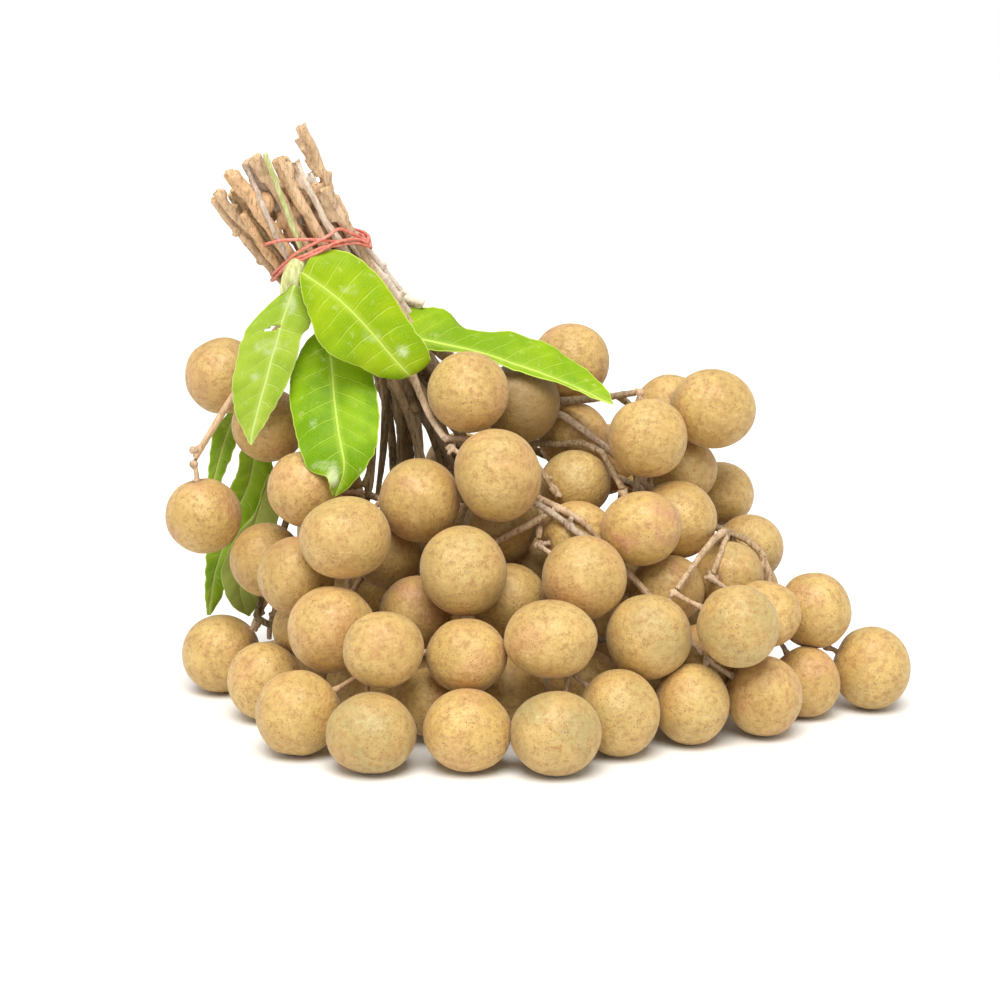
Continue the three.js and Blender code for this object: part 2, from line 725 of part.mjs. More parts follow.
function bandGeometry() {
  const [aside, deep] = bundleReach().map((reach) => reach + BAND_ROOM);
  const steps = BAND_STEPS;
  const points = Array.from({ length: steps }, (_, i) => {
    const turn = (2 * Math.PI * BAND_TURNS * i) / steps;
    const phase = (2 * Math.PI * BAND_SWINGS * i) / steps;
    const out = BAND_SWING[0] * Math.cos(phase);
    const place = [(aside + out) * Math.cos(turn), (deep + out) * Math.sin(turn)];
    return inBundle(BAND_SWING[1] * Math.sin(phase) + BAND_TILT * place[0], place);
  });
  const ring = new THREE.CatmullRomCurve3(points, true);
  return new THREE.TubeGeometry(ring, steps, BAND_RADIUS, BAND_SIDES, true);
}

// ---------------------------------------------------------------- pieces

const bunch = new THREE.Group();
bunch.position.copy(BASE_MIDDLE).negate();

function addPiece(name, solid, colour, roughness) {
  const material = new THREE.MeshStandardMaterial({ color: colour, roughness, metalness: 0 });
  const mesh = new THREE.Mesh(toGeometry(solid), material);
  mesh.name = name;
  bunch.add(mesh);
}

// One group of fruit with its forked stalk, made larger all round by grow.
function fruitSolid({ group, fork, legs }, grow = 0) {
  const fruit = group.map((f) => ball(f.centre, f.radius + grow));
  const thick = STALK_RADIUS + grow;
  const stalks = legs.map((leg) => tube(leg, thick, thick, STALK_SIDES, leg.getLength()));
  return wasm.Manifold.union([ball(fork, KNOB_RADIUS + grow, 0), ...fruit, ...stalks]);
}

function stemSolid({ curve, radius, twigs }, grow = 0) {
  const main = tube(curve, radius + grow, STEM_END_RADIUS + grow, STEM_SIDES, STEM_STEP);
  const branch = (twig) => tube(twig, TWIG_HEEL + grow, TWIG_RADIUS + grow, TWIG_SIDES, TWIG_STEP);
  return wasm.Manifold.union([main, ...twigs.map(branch)]);
}

function stalkSolid({ tie, tip, above, parts, course, radius }) {
  const held = [inBundle(-above, tip), inBundle(0, tie), inBundle(parts, tie)];
  const curve = new THREE.CatmullRomCurve3([...held, ...course.map((place) => at(...place))]);
  return tube(curve, radius, radius, STEM_SIDES, TWIG_STEP);
}

const GROUP_NAMES = { 1: "fruit_single", 2: "fruit_pair", 3: "fruit_trio" };
forks.forEach((cluster, i) => {
  const name = `${GROUP_NAMES[cluster.group.length]}_${String(i + 1).padStart(2, "0")}`;
  addPiece(name, fruitSolid(cluster), "#c9a468", 0.75);
});

// Each stem is cut back, with a gap, from the fruit and from the stems laid before it.
let taken = wasm.Manifold.union(forks.map((cluster) => fruitSolid(cluster, TOUCH_GAP)));
for (const stem of stems) {
  addPiece(stem.name, largestPiece(stemSolid(stem).subtract(taken)), "#8f6f4c", 0.9);
  taken = taken.add(stemSolid(stem, TOUCH_GAP));
}
for (const stalk of STALKS) {
  addPiece(stalk.name, largestPiece(stalkSolid(stalk).subtract(taken)), "#b9c45e", 0.6);
}
for (const leaf of LEAVES) {
  addPiece(leaf.name, leafSolid(leaf), "#7fb51c", 0.4);
}
addPiece("rubber_band", toSolid(bandGeometry()), "#d9705c", 0.6);

export default bunch;
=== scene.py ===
"""Looks of a longan bunch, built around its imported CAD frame.

Shapes are worked out in millimetres in the row frame (+Z up, -Y front). A mesh turns them to metres.
"""

import math

import bpy
import numpy as np
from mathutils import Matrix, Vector, noise

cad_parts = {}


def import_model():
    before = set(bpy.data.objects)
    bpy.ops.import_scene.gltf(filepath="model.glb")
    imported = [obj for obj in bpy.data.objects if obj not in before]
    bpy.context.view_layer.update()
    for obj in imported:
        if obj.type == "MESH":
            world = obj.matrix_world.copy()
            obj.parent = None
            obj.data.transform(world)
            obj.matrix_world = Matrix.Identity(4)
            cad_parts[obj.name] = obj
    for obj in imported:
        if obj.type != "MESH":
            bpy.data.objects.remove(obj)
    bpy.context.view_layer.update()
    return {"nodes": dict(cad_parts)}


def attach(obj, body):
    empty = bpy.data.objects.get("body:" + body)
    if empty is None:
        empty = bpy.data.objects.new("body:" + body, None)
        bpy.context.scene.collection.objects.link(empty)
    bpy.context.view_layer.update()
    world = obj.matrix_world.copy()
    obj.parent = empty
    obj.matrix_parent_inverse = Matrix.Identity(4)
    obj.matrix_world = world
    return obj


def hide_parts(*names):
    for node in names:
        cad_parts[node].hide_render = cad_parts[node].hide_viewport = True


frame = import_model()

# ---------------------------------------------------------------- the photograph's view, as in the CAD source
MM = 0.001
BASE_MIDDLE = np.array([12.8, 57.6, 0.0])
VIEW_TILT = math.radians(12)
VIEW_DISTANCE = 650.0
VIEW_PIXELS = 1000
SHEET_CENTRE = np.array([0.0, 0.0, 85.3])
SHEET_SCALE = 0.307  # millimetres of the sheet for each pixel of the view
SIGHT = np.array([0.0, math.cos(VIEW_TILT), -math.sin(VIEW_TILT)])
SHEET_UP = np.array([0.0, math.sin(VIEW_TILT), math.cos(VIEW_TILT)])
EYE = SHEET_CENTRE - SIGHT * VIEW_DISTANCE
MIDDLE_PIXEL = VIEW_PIXELS / 2


def unit(v):
    return v / np.maximum(np.linalg.norm(v, axis=-1, keepdims=True), 1e-12)


def at(across, rise, back):
    """The point that shows at (across, rise) on the sheet and lies at Y = back of the sheet's frame."""
    line = SIGHT * VIEW_DISTANCE + SHEET_UP * rise + np.array([across, 0, 0])
    return EYE + line * ((back - EYE[1]) / line[1]) - BASE_MIDDLE


def px(x, y, back):
    """The same for a pixel of the view."""
    return at((x - MIDDLE_PIXEL) * SHEET_SCALE, (MIDDLE_PIXEL - y) * SHEET_SCALE, back)


def in_view(point):
    """Where a point shows in the view, in pixels."""
    line = point + BASE_MIDDLE - EYE
    scale = VIEW_DISTANCE / (line @ SIGHT) / SHEET_SCALE
    return np.array([MIDDLE_PIXEL + line[0] * scale, MIDDLE_PIXEL - (line @ SHEET_UP) * scale])


# ---------------------------------------------------------------- meshes
SPAN_POINTS = 24  # from one point of a spline to the next, before they are spaced evenly
ON_FLOOR = 0.05  # how far above the floor the lowest bark stays


def add_object(name, data):
    thing = bpy.data.objects.new(name, data)
    bpy.context.scene.collection.objects.link(thing)
    return thing


def new_mesh(name, verts, faces):
    mesh = bpy.data.meshes.new(name)
    mesh.from_pydata((np.asarray(verts) * MM).tolist(), [], [tuple(int(i) for i in f) for f in faces])
    return mesh


def make_piece(name, verts, faces, material, slot, nodes=(), attributes=None):
    mesh = new_mesh(name, verts, faces)
    mesh.polygons.foreach_set("use_smooth", np.ones(len(mesh.polygons), bool))
    mesh.materials.append(material)
    for key, values in (attributes or {}).items():
        set_attribute(mesh, key, values)
    mesh.update()
    piece = add_object(name, mesh)
    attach(piece, "root")
    if nodes:
        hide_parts(*nodes)


def set_attribute(mesh, key, values):
    values = np.asarray(values, np.float32)
    if values.ndim == 1:
        mesh.attributes.new(key, "FLOAT", "POINT").data.foreach_set("value", values)
    else:
        mesh.attributes.new(key, "FLOAT_VECTOR", "POINT").data.foreach_set("vector", values.ravel())


def read_vectors(items, key):
    values = np.empty(len(items) * 3, np.float32)
    items.foreach_get(key, values)
    return values.reshape(-1, 3).astype(float)


def merge(points, faces, digits):
    """The points without repeats and the faces on them, without any face that has lost a corner."""
    _, first, inverse = np.unique(np.round(points, digits), axis=0, return_index=True, return_inverse=True)
    inverse = inverse.reshape(-1)
    faces = [tuple(inverse[i] for i in face) for face in faces]
    return points[first], [face for face in faces if len(set(face)) == len(face)]


def cad_mesh(node):
    mesh = frame["nodes"][node].data
    return merge(read_vectors(mesh.vertices, "co") / MM, [p.vertices for p in mesh.polygons], 3)


def join(parts):
    """Several (points, faces) as one."""
    verts, faces, count = [], [], 0
    for points, part_faces in parts:
        verts.append(np.asarray(points, float))
        faces += [tuple(i + count for i in face) for face in part_faces]
        count += len(points)
    return np.vstack(verts), faces


def catmull_rom(a, b, c, d, t):
    """The curve from b to c at the shares t, with a before it and d after it."""
    return 0.5 * (2 * b + (c - a) * t + (2 * a - 5 * b + 4 * c - d) * t**2 + (3 * b - a - 3 * c + d) * t**3)


def with_ends(points):
    """The points, and one more before and after them."""
    return np.vstack([2 * points[0] - points[1], points, 2 * points[-1] - points[-2]])


def lengths_along(line):
    return np.concatenate([[0], np.cumsum(np.linalg.norm(np.diff(line, axis=0), axis=1))])


def spline(points, count):
    """A smooth curve through the points, with evenly spaced samples."""
    points = np.asarray(points, float)
    if len(points) == 2:
        return points[0] + (points[1] - points[0]) * np.linspace(0, 1, count)[:, None]
    ends = with_ends(points)
    t = np.linspace(0, 1, SPAN_POINTS, endpoint=False)[:, None]
    spans = [catmull_rom(*four, t) for four in zip(ends, ends[1:], ends[2:], ends[3:])]
    fine = np.vstack([*spans, points[-1:]])
    length = lengths_along(fine)
    return np.stack([np.interp(np.linspace(0, length[-1], count), length, column) for column in fine.T], 1)


def rail_at(rail, station):
    """The smooth curve through the points of a rail, at stations counted in points."""
    ends = with_ends(rail)
    cell = np.minimum(station.astype(int), len(rail) - 2)
    return catmull_rom(*(ends[cell + k] for k in range(4)), (station - cell)[:, None])


def view_line(points, count):
    return spline(np.array([px(*p) for p in points]), count)


def tube(line, radii, sides, closed=False):
    """A tube along a line of points, with a radius at each and flat ends."""
    line = np.asarray(line, float)
    radii = np.broadcast_to(radii, len(line))
    along = unit(np.roll(line, -1, 0) - np.roll(line, 1, 0)) if closed else unit(np.gradient(line, axis=0))
    side = unit(np.cross(along[0], [0.31, 0.22, 0.92]))
    turn = np.linspace(0, 2 * np.pi, sides, endpoint=False)[:, None]
    rings = []
    for i, point in enumerate(line):
        side = unit(side - along[i] * (side @ along[i]))
        up = np.cross(along[i], side)
        rings.append(point + radii[i] * (np.cos(turn) * side + np.sin(turn) * up))
    count = len(line)
    faces = []
    for i in range(count if closed else count - 1):
        a, b = i * sides, (i + 1) % count * sides
        faces += [(a + j, a + (j + 1) % sides, b + (j + 1) % sides, b + j) for j in range(sides)]
    if closed:
        return np.vstack(rings), faces
    last = (count - 1) * sides
    faces += [((j + 1) % sides, j, count * sides) for j in range(sides)]
    faces += [(last + j, last + (j + 1) % sides, count * sides + 1) for j in range(sides)]
    return np.vstack([*rings, line[0], line[-1]]), faces


def quad_ball(steps):
    """A ball of radius 1 made of even quads."""
    grid = np.tan(np.linspace(-1, 1, steps + 1) * np.pi / 4)
    a, b = np.meshgrid(grid, grid, indexing="ij")
    one = np.ones_like(a)
    sides = [(one, a, b), (-one, b, a), (b, one, a), (a, -one, b), (a, b, one), (b, a, -one)]
    points = np.vstack([unit(np.stack([c.ravel() for c in s], 1)) for s in sides])
    corner = np.arange(6 * (steps + 1) ** 2).reshape(6, steps + 1, steps + 1)[:, :-1, :-1].ravel()
    return merge(points, [(k, k + steps + 1, k + steps + 2, k + 1) for k in corner], 5)


def lump(centre, radius, stretch=1.0):
    """A small low ball, to be joined into a wooden piece."""
    points, faces = quad_ball(3)
    return points * radius * stretch + centre, faces


def remesh(name, verts, faces, voxel, smooth, ratio):
    """Parts that overlap, melted into one closed skin: points, faces and normals."""
    mesh = new_mesh(name, verts, faces)
    thing = add_object(name, mesh)
    steps = {
        "REMESH": {"mode": "VOXEL", "voxel_size": voxel * MM},
        "SMOOTH": {"factor": 0.5, "iterations": smooth},
        "DECIMATE": {"ratio": ratio},
    }
    for kind, settings in steps.items():
        step = thing.modifiers.new(kind, kind)
        for key, value in settings.items():
            setattr(step, key, value)
    done = bpy.data.meshes.new_from_object(thing.evaluated_get(bpy.context.evaluated_depsgraph_get()))
    bpy.data.objects.remove(thing)
    bpy.data.meshes.remove(mesh)
    points, normals = read_vectors(done.vertices, "co") / MM, read_vectors(done.vertices, "normal")
    faces = [tuple(p.vertices) for p in done.polygons]
    bpy.data.meshes.remove(done)
    return points, faces, normals


def wobble(points, scale, seed):
    """Smooth noise from -1 to 1 at the points, whose features are about scale millimetres apart."""
    shift = np.array([seed * 17.3 % 91, seed * 7.7 % 83, seed * 3.1 % 71])
    return np.array([noise.noise(p) for p in (points / scale + shift).tolist()])


# ---------------------------------------------------------------- materials
VEIN_STEP = 6.2  # millimetres between the side veins of a leaf
BUNDLE_LEAN = math.radians(-37)  # how far the bundle leans in the view, for the streaks along its bark


def linear(colour):
    """A hex colour as linear RGBA. Anything else stays as it is."""
    if not isinstance(colour, str):
        return colour
    parts = [int(colour[i : i + 2], 16) / 255 for i in (1, 3, 5)]
    return (*[c / 12.92 if c <= 0.04045 else ((c + 0.055) / 1.055) ** 2.4 for c in parts], 1.0)


class Shader:
    """A material's nodes. Each call adds one node and returns the output that is asked for."""

    def __init__(self, name, inputs):
        self.material = bpy.data.materials.new(name)
        self.material.use_nodes = True
        self.tree = self.material.node_tree
        self.bsdf = self.tree.nodes["Principled BSDF"]
        self.set(self.bsdf, inputs)

    def set(self, node, inputs):
        for key, value in inputs.items():
            if isinstance(value, bpy.types.NodeSocket):
                self.tree.links.new(value, node.inputs[key])
            else:
                node.inputs[key].default_value = value

    def add(self, kind, inputs=None, output=0, **settings):
        node = self.tree.nodes.new("ShaderNode" + kind)
        for key, value in settings.items():
            setattr(node, key, value)
        self.set(node, inputs or {})
        return node.outputs[output]

    def place(self):
        return self.add("TexCoord", output="Object")

    def read(self, name, output="Fac"):
        return self.add("Attribute", output=output, attribute_name=name)

    def parts(self, vector):
        return self.add("SeparateXYZ", {0: vector}).node.outputs

    def noise(self, vector, scale, detail=3.0, rough=0.55, output="Fac"):
        inputs = {"Vector": vector, "Scale": scale, "Detail": detail, "Roughness": rough}
        return self.add("TexNoise", inputs, output)

    def cells(self, vector, scale, feature="F1"):
        return self.add("TexVoronoi", {"Vector": vector, "Scale": scale}, "Distance", feature=feature)

    def streaked(self, place, stretch):
        """The place, drawn out along the bundle."""
        inputs = {"Vector": place, "Rotation": (0.0, BUNDLE_LEAN, 0.0), "Scale": (1.0, 1.0, stretch)}
        return self.add("Mapping", inputs)

    def maths(self, operation, a, b=0.0, clamp=False):
        return self.add("Math", {0: a, 1: b}, operation=operation, use_clamp=clamp)

    def times(self, a, b, clamp=False):
        return self.maths("MULTIPLY", a, b, clamp)

    def higher(self, a, b):
        return self.maths("MAXIMUM", a, b)

    def span(self, value, low, high, to_low=0.0, to_high=1.0):
        """The value between low and high, turned to lie between to_low and to_high."""
        inputs = {"Value": value, "From Min": low, "From Max": high, "To Min": to_low, "To Max": to_high}
        return self.add("MapRange", inputs, interpolation_type="SMOOTHSTEP")

    def mix(self, share, a, b):
        node = self.add("Mix", data_type="RGBA").node
        self.set(node, {0: share, 6: linear(a), 7: linear(b)})
        return node.outputs[2]

    def tint(self, colour, new, value, low, high, share=1.0):
        """The colour, with up to a share of the new one where the value comes near high."""
        return self.mix(self.span(value, low, high, 0, share), colour, new)

    def bump(self, height, distance, strength, *below):
        """Relief, on top of the relief below if that is given."""
        inputs = {"Height": height, "Distance": distance * MM, "Strength": strength}
        return self.add("Bump", inputs | {"Normal": normal for normal in below})

    def finish(self, colour, **inputs):
        self.set(self.bsdf, {"Base Color": colour, **inputs})
        return self.material


# Dark spots of the skin: their scale, how far from its middle a spot begins and is full, how rare and how
# strong they are, and their colour. The first have soft rims, the others are small brown specks.
SKIN_SPOTS = (
    (330, 0.42, 0.12, 0.45, 0.38, "#98763f"),
    (800, 0.27, 0.14, 0.30, 0.72, "#86582f"),
    (1350, 0.32, 0.16, 0.42, 0.72, "#6c4626"),
)


def skin_material():
    """Matt thin shell. The attribute tone holds how green and how red a fruit is, and how much painted shade
    darkens it.
    """
    s = Shader("longan_skin", {"Specular IOR Level": 0.8, "Sheen Weight": 0.12, "Sheen Roughness": 0.5})
    place = s.place()
    green, red, painted_shade = s.parts(s.read("tone", "Vector"))
    clouds = s.noise(place, 85, 4, 0.62)
    elsewhere = s.add("VectorMath", {0: place, 1: (3.1, 1.7, 2.3)}, operation="ADD")
    patches = s.noise(elsewhere, 70, 3, 0.6)
    mottle = s.noise(place, 430, 4, 0.68)
    grain = s.noise(place, 1500, 3, 0.7)
    colour = s.mix(s.span(clouds, 0.3, 0.7), "#c0994d", "#d8b568")
    share = s.times(s.span(patches, 0.36, 0.66, 0.25, 1), s.maths("ADD", 0.1, green), clamp=True)
    colour = s.mix(share, colour, "#ae9b60")
    share = s.times(s.span(patches, 0.56, 0.3), s.maths("ADD", 0.12, red), clamp=True)
    colour = s.mix(share, colour, "#c48c66")
    colour = s.tint(colour, "#a3763d", mottle, 0.44, 0.7, 0.72)
    colour = s.tint(colour, "#e0c18d", mottle, 0.42, 0.26, 0.45)
    # The spots' edges sway, and the spots are thicker in some places than in others.
    sway = s.add("VectorMath", {0: s.noise(place, 700, 2, output="Color"), 3: 0.0012}, operation="SCALE")
    bend = s.add("VectorMath", {0: place, 1: sway}, operation="ADD")
    thick = s.span(s.noise(place, 120, 2), 0.34, 0.6, 0.25, 1.0)
    for scale, rim, core, rare, strength, dark in SKIN_SPOTS:
        spot = s.cells(bend, scale).node.outputs
        speck = s.span(spot["Distance"], rim, core)
        chosen = s.span(s.parts(spot["Color"])[0], rare, rare + 0.1, 0, strength)
        colour = s.mix(s.times(s.times(speck, chosen), thick), colour, dark)
    colour = s.tint(colour, "#7d5a36", s.read("pole"), 0.3, 0.1, 0.8)
    # Painted shade: fruit that lie in shade in the heap are darkened towards a dull brown.
    colour = s.mix(s.times(painted_shade, 0.75), colour, "#836229")
    colour = s.tint(colour, "#8f6a3a", grain, 0.5, 0.75, 0.3)
    relief = s.bump(s.cells(bend, 950, "SMOOTH_F1"), 0.2, 0.7)
    relief = s.bump(mottle, 0.62, 0.6, relief)
    relief = s.bump(grain, 0.12, 0.6, relief)
    return s.finish(colour, Normal=relief, Roughness=s.span(mottle, 0.3, 0.7, 0.5, 0.72))


def bark_material():
    """Dry bark. The attribute tone holds how orange, how grey and how dark (below 0, pale) a stem is; its
    darkness is partly the bark's own and partly painted shade, low in the heap.
    """
    s = Shader("longan_bark", {"Roughness": 0.85, "Specular IOR Level": 0.25})
    place = s.place()
    orange, grey, dark = s.parts(s.read("tone", "Vector"))
    along = s.streaked(place, 0.16)
    streaks = s.noise(along, 1000, 5, 0.72)
    broad = s.noise(along, 300, 3, 0.6)
    blots = s.noise(place, 190, 3, 0.6)
    warts = s.cells(place, 620)
    colour = s.mix(s.span(broad, 0.3, 0.7), "#cba578", "#edcda4")
    colour = s.mix(s.times(orange, s.span(broad, 0.2, 0.6, 0.6, 1)), colour, "#e9bc8e")
    colour = s.mix(s.times(grey, 0.85), colour, "#d6c6bb")
    colour = s.tint(colour, "#a08d62", blots, 0.5, 0.7, 0.4)
    colour = s.tint(colour, "#eccfae", blots, 0.42, 0.28, 0.45)
    colour = s.tint(colour, "#7a5a3c", streaks, 0.48, 0.7, 0.75)
    colour = s.tint(colour, "#e6cda6", streaks, 0.45, 0.3, 0.65)
    colour = s.tint(colour, "#e0cba8", warts, 0.16, 0.08, 0.6)
    # Darker bark, partly its own colour and partly painted shade low in the heap.
    shade = s.mix(s.span(streaks, 0.36, 0.64), "#8f7f59", "#4d4230")
    colour = s.mix(s.higher(dark, 0.0), colour, shade)
    colour = s.tint(colour, "#efe3d3", dark, 0.0, -1.0)
    wood = s.mix(s.span(s.noise(place, 1500, 3, 0.6), 0.35, 0.65), "#c4955c", "#ecd3a6")
    colour = s.mix(s.read("cut"), colour, wood)
    height = s.maths("ADD", streaks, s.times(s.span(warts, 0.25, 0.05), 0.5))
    return s.finish(colour, Normal=s.bump(height, 0.8, 0.9))


def green_stalk_material():
    s = Shader("longan_green_stalk", {"Roughness": 0.5, "Specular IOR Level": 0.4})
    place = s.place()
    streaks = s.noise(s.streaked(place, 0.12), 900, 4, 0.6)
    colour = s.mix(s.span(streaks, 0.35, 0.65), "#b0b36e", "#dadca0")
    colour = s.tint(colour, "#8a8450", s.cells(place, 500), 0.2, 0.1, 0.5)
    return s.finish(colour, Normal=s.bump(streaks, 0.2, 0.6))


def leaf_material(name, face, deep, under, vein):
    """A waxy blade. The attribute blade holds how far along it the side vein starts that passes there, the
    share across it (-1 to 1) and the half width."""
    s = Shader(name, {"Specular IOR Level": 0.08})
    place = s.place()
    along, across, half = s.parts(s.read("blade", "Vector"))
    out = s.maths("ABSOLUTE", across)
    aside = s.times(out, half)
    clouds = s.noise(place, 60, 3, 0.6)
    spots = s.noise(place, 300, 4, 0.72)
    dust = s.noise(place, 900, 3, 0.6)
    # Side veins, finer ones between them, and a net. The halves' side veins leave the midrib by turns.
    flip = s.times(s.span(across, -0.01, 0.01), 0.5)
    waver = s.times(s.maths("SUBTRACT", s.noise(place, 110, 2), 0.5), 2.2)
    phase = s.maths("ADD", s.maths("DIVIDE", s.maths("ADD", along, waver), VEIN_STEP), flip)
    away = s.times(s.maths("PINGPONG", phase, 0.5), VEIN_STEP)
    side = s.times(s.span(away, 0.3, 0.06), s.span(out, 0.98, 0.5, 0.25, 1))
    between = s.times(s.maths("PINGPONG", s.times(phase, 6.0), 0.5), VEIN_STEP / 6)
    fine = s.span(between, 0.25, 0.02, 0, 0.1)
    flat = s.add("CombineXYZ", {0: along, 1: s.times(across, half)})
    net = s.span(s.cells(flat, 1.1, "DISTANCE_TO_EDGE"), 0.1, 0.02, 0, 0.12)
    rib = s.span(aside, 0.52, 0.22)
    margin = s.span(s.times(s.maths("SUBTRACT", 1.0, out), half), 0.55, 0.2, 0, 0.85)
    colour = s.mix(s.span(clouds, 0.36, 0.64), deep, face)
    colour = s.tint(colour, deep, away, 0.3, VEIN_STEP * 0.5, 0.3)
    colour = s.tint(colour, "#bcc27c", spots, 0.58, 0.72, 0.45)
    colour = s.tint(colour, "#8d9a3c", dust, 0.66, 0.76, 0.5)
    colour = s.tint(colour, vein, aside, 2.2, 0.3, 0.25)
    # Pale worn patches, and a painted highlight where the low leaf's bent tip catches the light.
    colour = s.mix(s.times(s.read("wear_and_glint"), s.span(spots, 0.36, 0.6)), colour, "#c6d2a4")
    lower = s.mix(s.span(clouds, 0.3, 0.7), under, "#aab85c")
    colour = s.mix(s.read("under"), colour, lower)
    lines = s.higher(s.times(side, 0.5), s.higher(net, fine))
    colour = s.mix(s.higher(s.higher(s.times(rib, 0.8), margin), lines), colour, vein)
    height = s.maths("SUBTRACT", 0.0, s.higher(rib, s.times(side, 0.8)))
    height = s.maths("ADD", height, s.times(spots, 0.5))
    return s.finish(colour, Normal=s.bump(height, 0.2, 0.7), Roughness=s.span(spots, 0.35, 0.65, 0.36, 0.55))


def band_material():
    s = Shader("rubber_band", {"Roughness": 0.5, "Specular IOR Level": 0.4})
    dust = s.noise(s.place(), 700, 3, 0.6)
    colour = s.mix(s.span(dust, 0.35, 0.7), "#cf6b58", "#e49a87")
    return s.finish(colour, Normal=s.bump(dust, 0.15, 0.5))


SKIN = skin_material()
BARK = bark_material()
GREEN = green_stalk_material()
LEAF = leaf_material("longan_leaf", "#93ad08", "#799d04", "#9fae4e", "#c3d660")
LEAF_LEFT = leaf_material("longan_leaf_left", "#a0b63a", "#8aa82a", "#9fae4e", "#c6d87c")
LEAF_LOW = leaf_material("longan_leaf_low", "#84a804", "#648e04", "#93a84a", "#bcd45a")
LEAF_RIGHT = leaf_material("longan_leaf_right", "#8cac0c", "#72980a", "#98aa4c", "#c2d860")
LEAF_BACK = leaf_material("longan_leaf_shaded", "#90b022", "#71971a", "#93a552", "#b4c668")
BAND = band_material()


# ---------------------------------------------------------------- fruit, found in the CAD frame
FRUIT_RADII = (10.0, 16.0)
FORK_RADII = (1.9, 2.1)
BALL_TRIES = 400
BALL_NEAR = 12  # a try takes one point, and three of this many that lie nearest to it
BALL_MISS = 0.012  # how far a point of a ball may lie off it
COUNTS = {"single": 1, "pair": 2, "trio": 3}


def find_ball(points, least, most, rng):
    """The ball that most of the points lie on: its centre, its radius and which points."""
    best = None
    for _ in range(BALL_TRIES):
        first = points[rng.integers(len(points))]
        near = np.argsort(((points - first) ** 2).sum(1))[1 : BALL_NEAR + 1]
        pick = points[rng.choice(near, 3, replace=False)]
        a = 2 * (pick - first)
        if abs(np.linalg.det(a)) < 1e-2 * least**3:
            continue
        centre = np.linalg.solve(a, (pick**2).sum(1) - (first**2).sum())
        radius = np.linalg.norm(first - centre)
        if not least < radius < most:
            continue
        on = abs(np.linalg.norm(points - centre, axis=1) - radius) < BALL_MISS
        if best is None or on.sum() > best[2].sum():
            best = (centre, radius, on)
    return best


def find_clusters():
    """Each group of fruit: its node, its balls as (centre, radius), and the fork of its stalks."""
    rng = np.random.default_rng(7)
    found = []
    for node in sorted(n for n in frame["nodes"] if n.startswith("fruit_")):
        points, _ = cad_mesh(node)
        balls = []
        for _ in range(COUNTS[node.split("_")[1]]):
            centre, radius, on = find_ball(points, *FRUIT_RADII, rng)
            balls.append((centre, radius))
            points = points[~on]
        fork, _, _ = find_ball(points, *FORK_RADII, rng)
        found.append((node, balls, fork))
    return found


CLUSTERS = find_clusters()
ALL_BALLS = [ball for _, balls, _ in CLUSTERS for ball in balls]
BALL_POINTS, BALL_FACES = quad_ball(18)

# The form of a fruit, in shares of its radius and in radians. Shoulder and dimple are at the stem end.
WAVES = 7
WAVE_HEIGHT = 0.005
DENTS = 4
DENT_DEPTH = (0.003, 0.012)
DENT_WIDTH = 0.34
SHOULDER_HEIGHT = 0.014
SHOULDER_AT = 0.5
DIMPLE_DEPTH = 0.05
DIMPLE_WIDTH = 0.22
LOW = 1.02  # a fruit with its middle lower than this many radii lies on the floor
PRESS_REACH = 1.15  # fruit press on each other when they are nearer than this share of their radii together
PRESS_GAP = 0.02


def bell(value, width, middle=0.0):
    """A bell curve, 1 at its middle."""
    return np.exp(-(((value - middle) / width) ** 2))


def fruit_shape(centre, radius, towards, wide, tall, lean, rng):
    """A fruit's points, and for each how far round from the stem end it lies (radians)."""
    d = BALL_POINTS
    angle = np.arccos(np.clip(d @ towards, -1, 1))
    swell = np.zeros(len(d))
    for _ in range(WAVES):
        k = rng.normal(size=3) * 1.5
        swell += rng.normal() * WAVE_HEIGHT * np.cos(d @ k * 2 + rng.uniform(0, 6.28))
    for _ in range(DENTS):
        spot = unit(rng.normal(size=3))
        swell -= rng.uniform(*DENT_DEPTH) * bell(np.arccos(np.clip(d @ spot, -1, 1)), DENT_WIDTH)
    shoulder = SHOULDER_HEIGHT * bell(angle, DIMPLE_WIDTH, SHOULDER_AT)
    swell += shoulder - DIMPLE_DEPTH * bell(angle, DIMPLE_WIDTH)
    turn = math.radians(lean)
    right = np.array([math.cos(turn), 0.0, math.sin(turn)])
    up = np.array([-math.sin(turn), 0.0, math.cos(turn)])
    shape = radius * d * (1 + swell)[:, None]
    shape = shape + np.outer(shape @ right, right) * (wide - 1) + np.outer(shape @ up, up) * (tall - 1)
    if centre[2] < radius * LOW:
        centre = centre + [0, 0, (tall - 1) * radius]
    points = centre + shape
    # Where it presses on its neighbours and on the surface, it is a little flattened.
    for other, other_radius in ALL_BALLS:
        away = other - centre
        distance = np.linalg.norm(away)
        if 1.0 < distance < (radius + other_radius) * PRESS_REACH:
            n = away / distance
            limit = distance * radius / (radius + other_radius) - PRESS_GAP
            over = np.maximum((points - centre) @ n - limit, 0)
            points = points - over[:, None] * n
    points[:, 2] = np.maximum(points[:, 2], 0.0)
    return points, angle
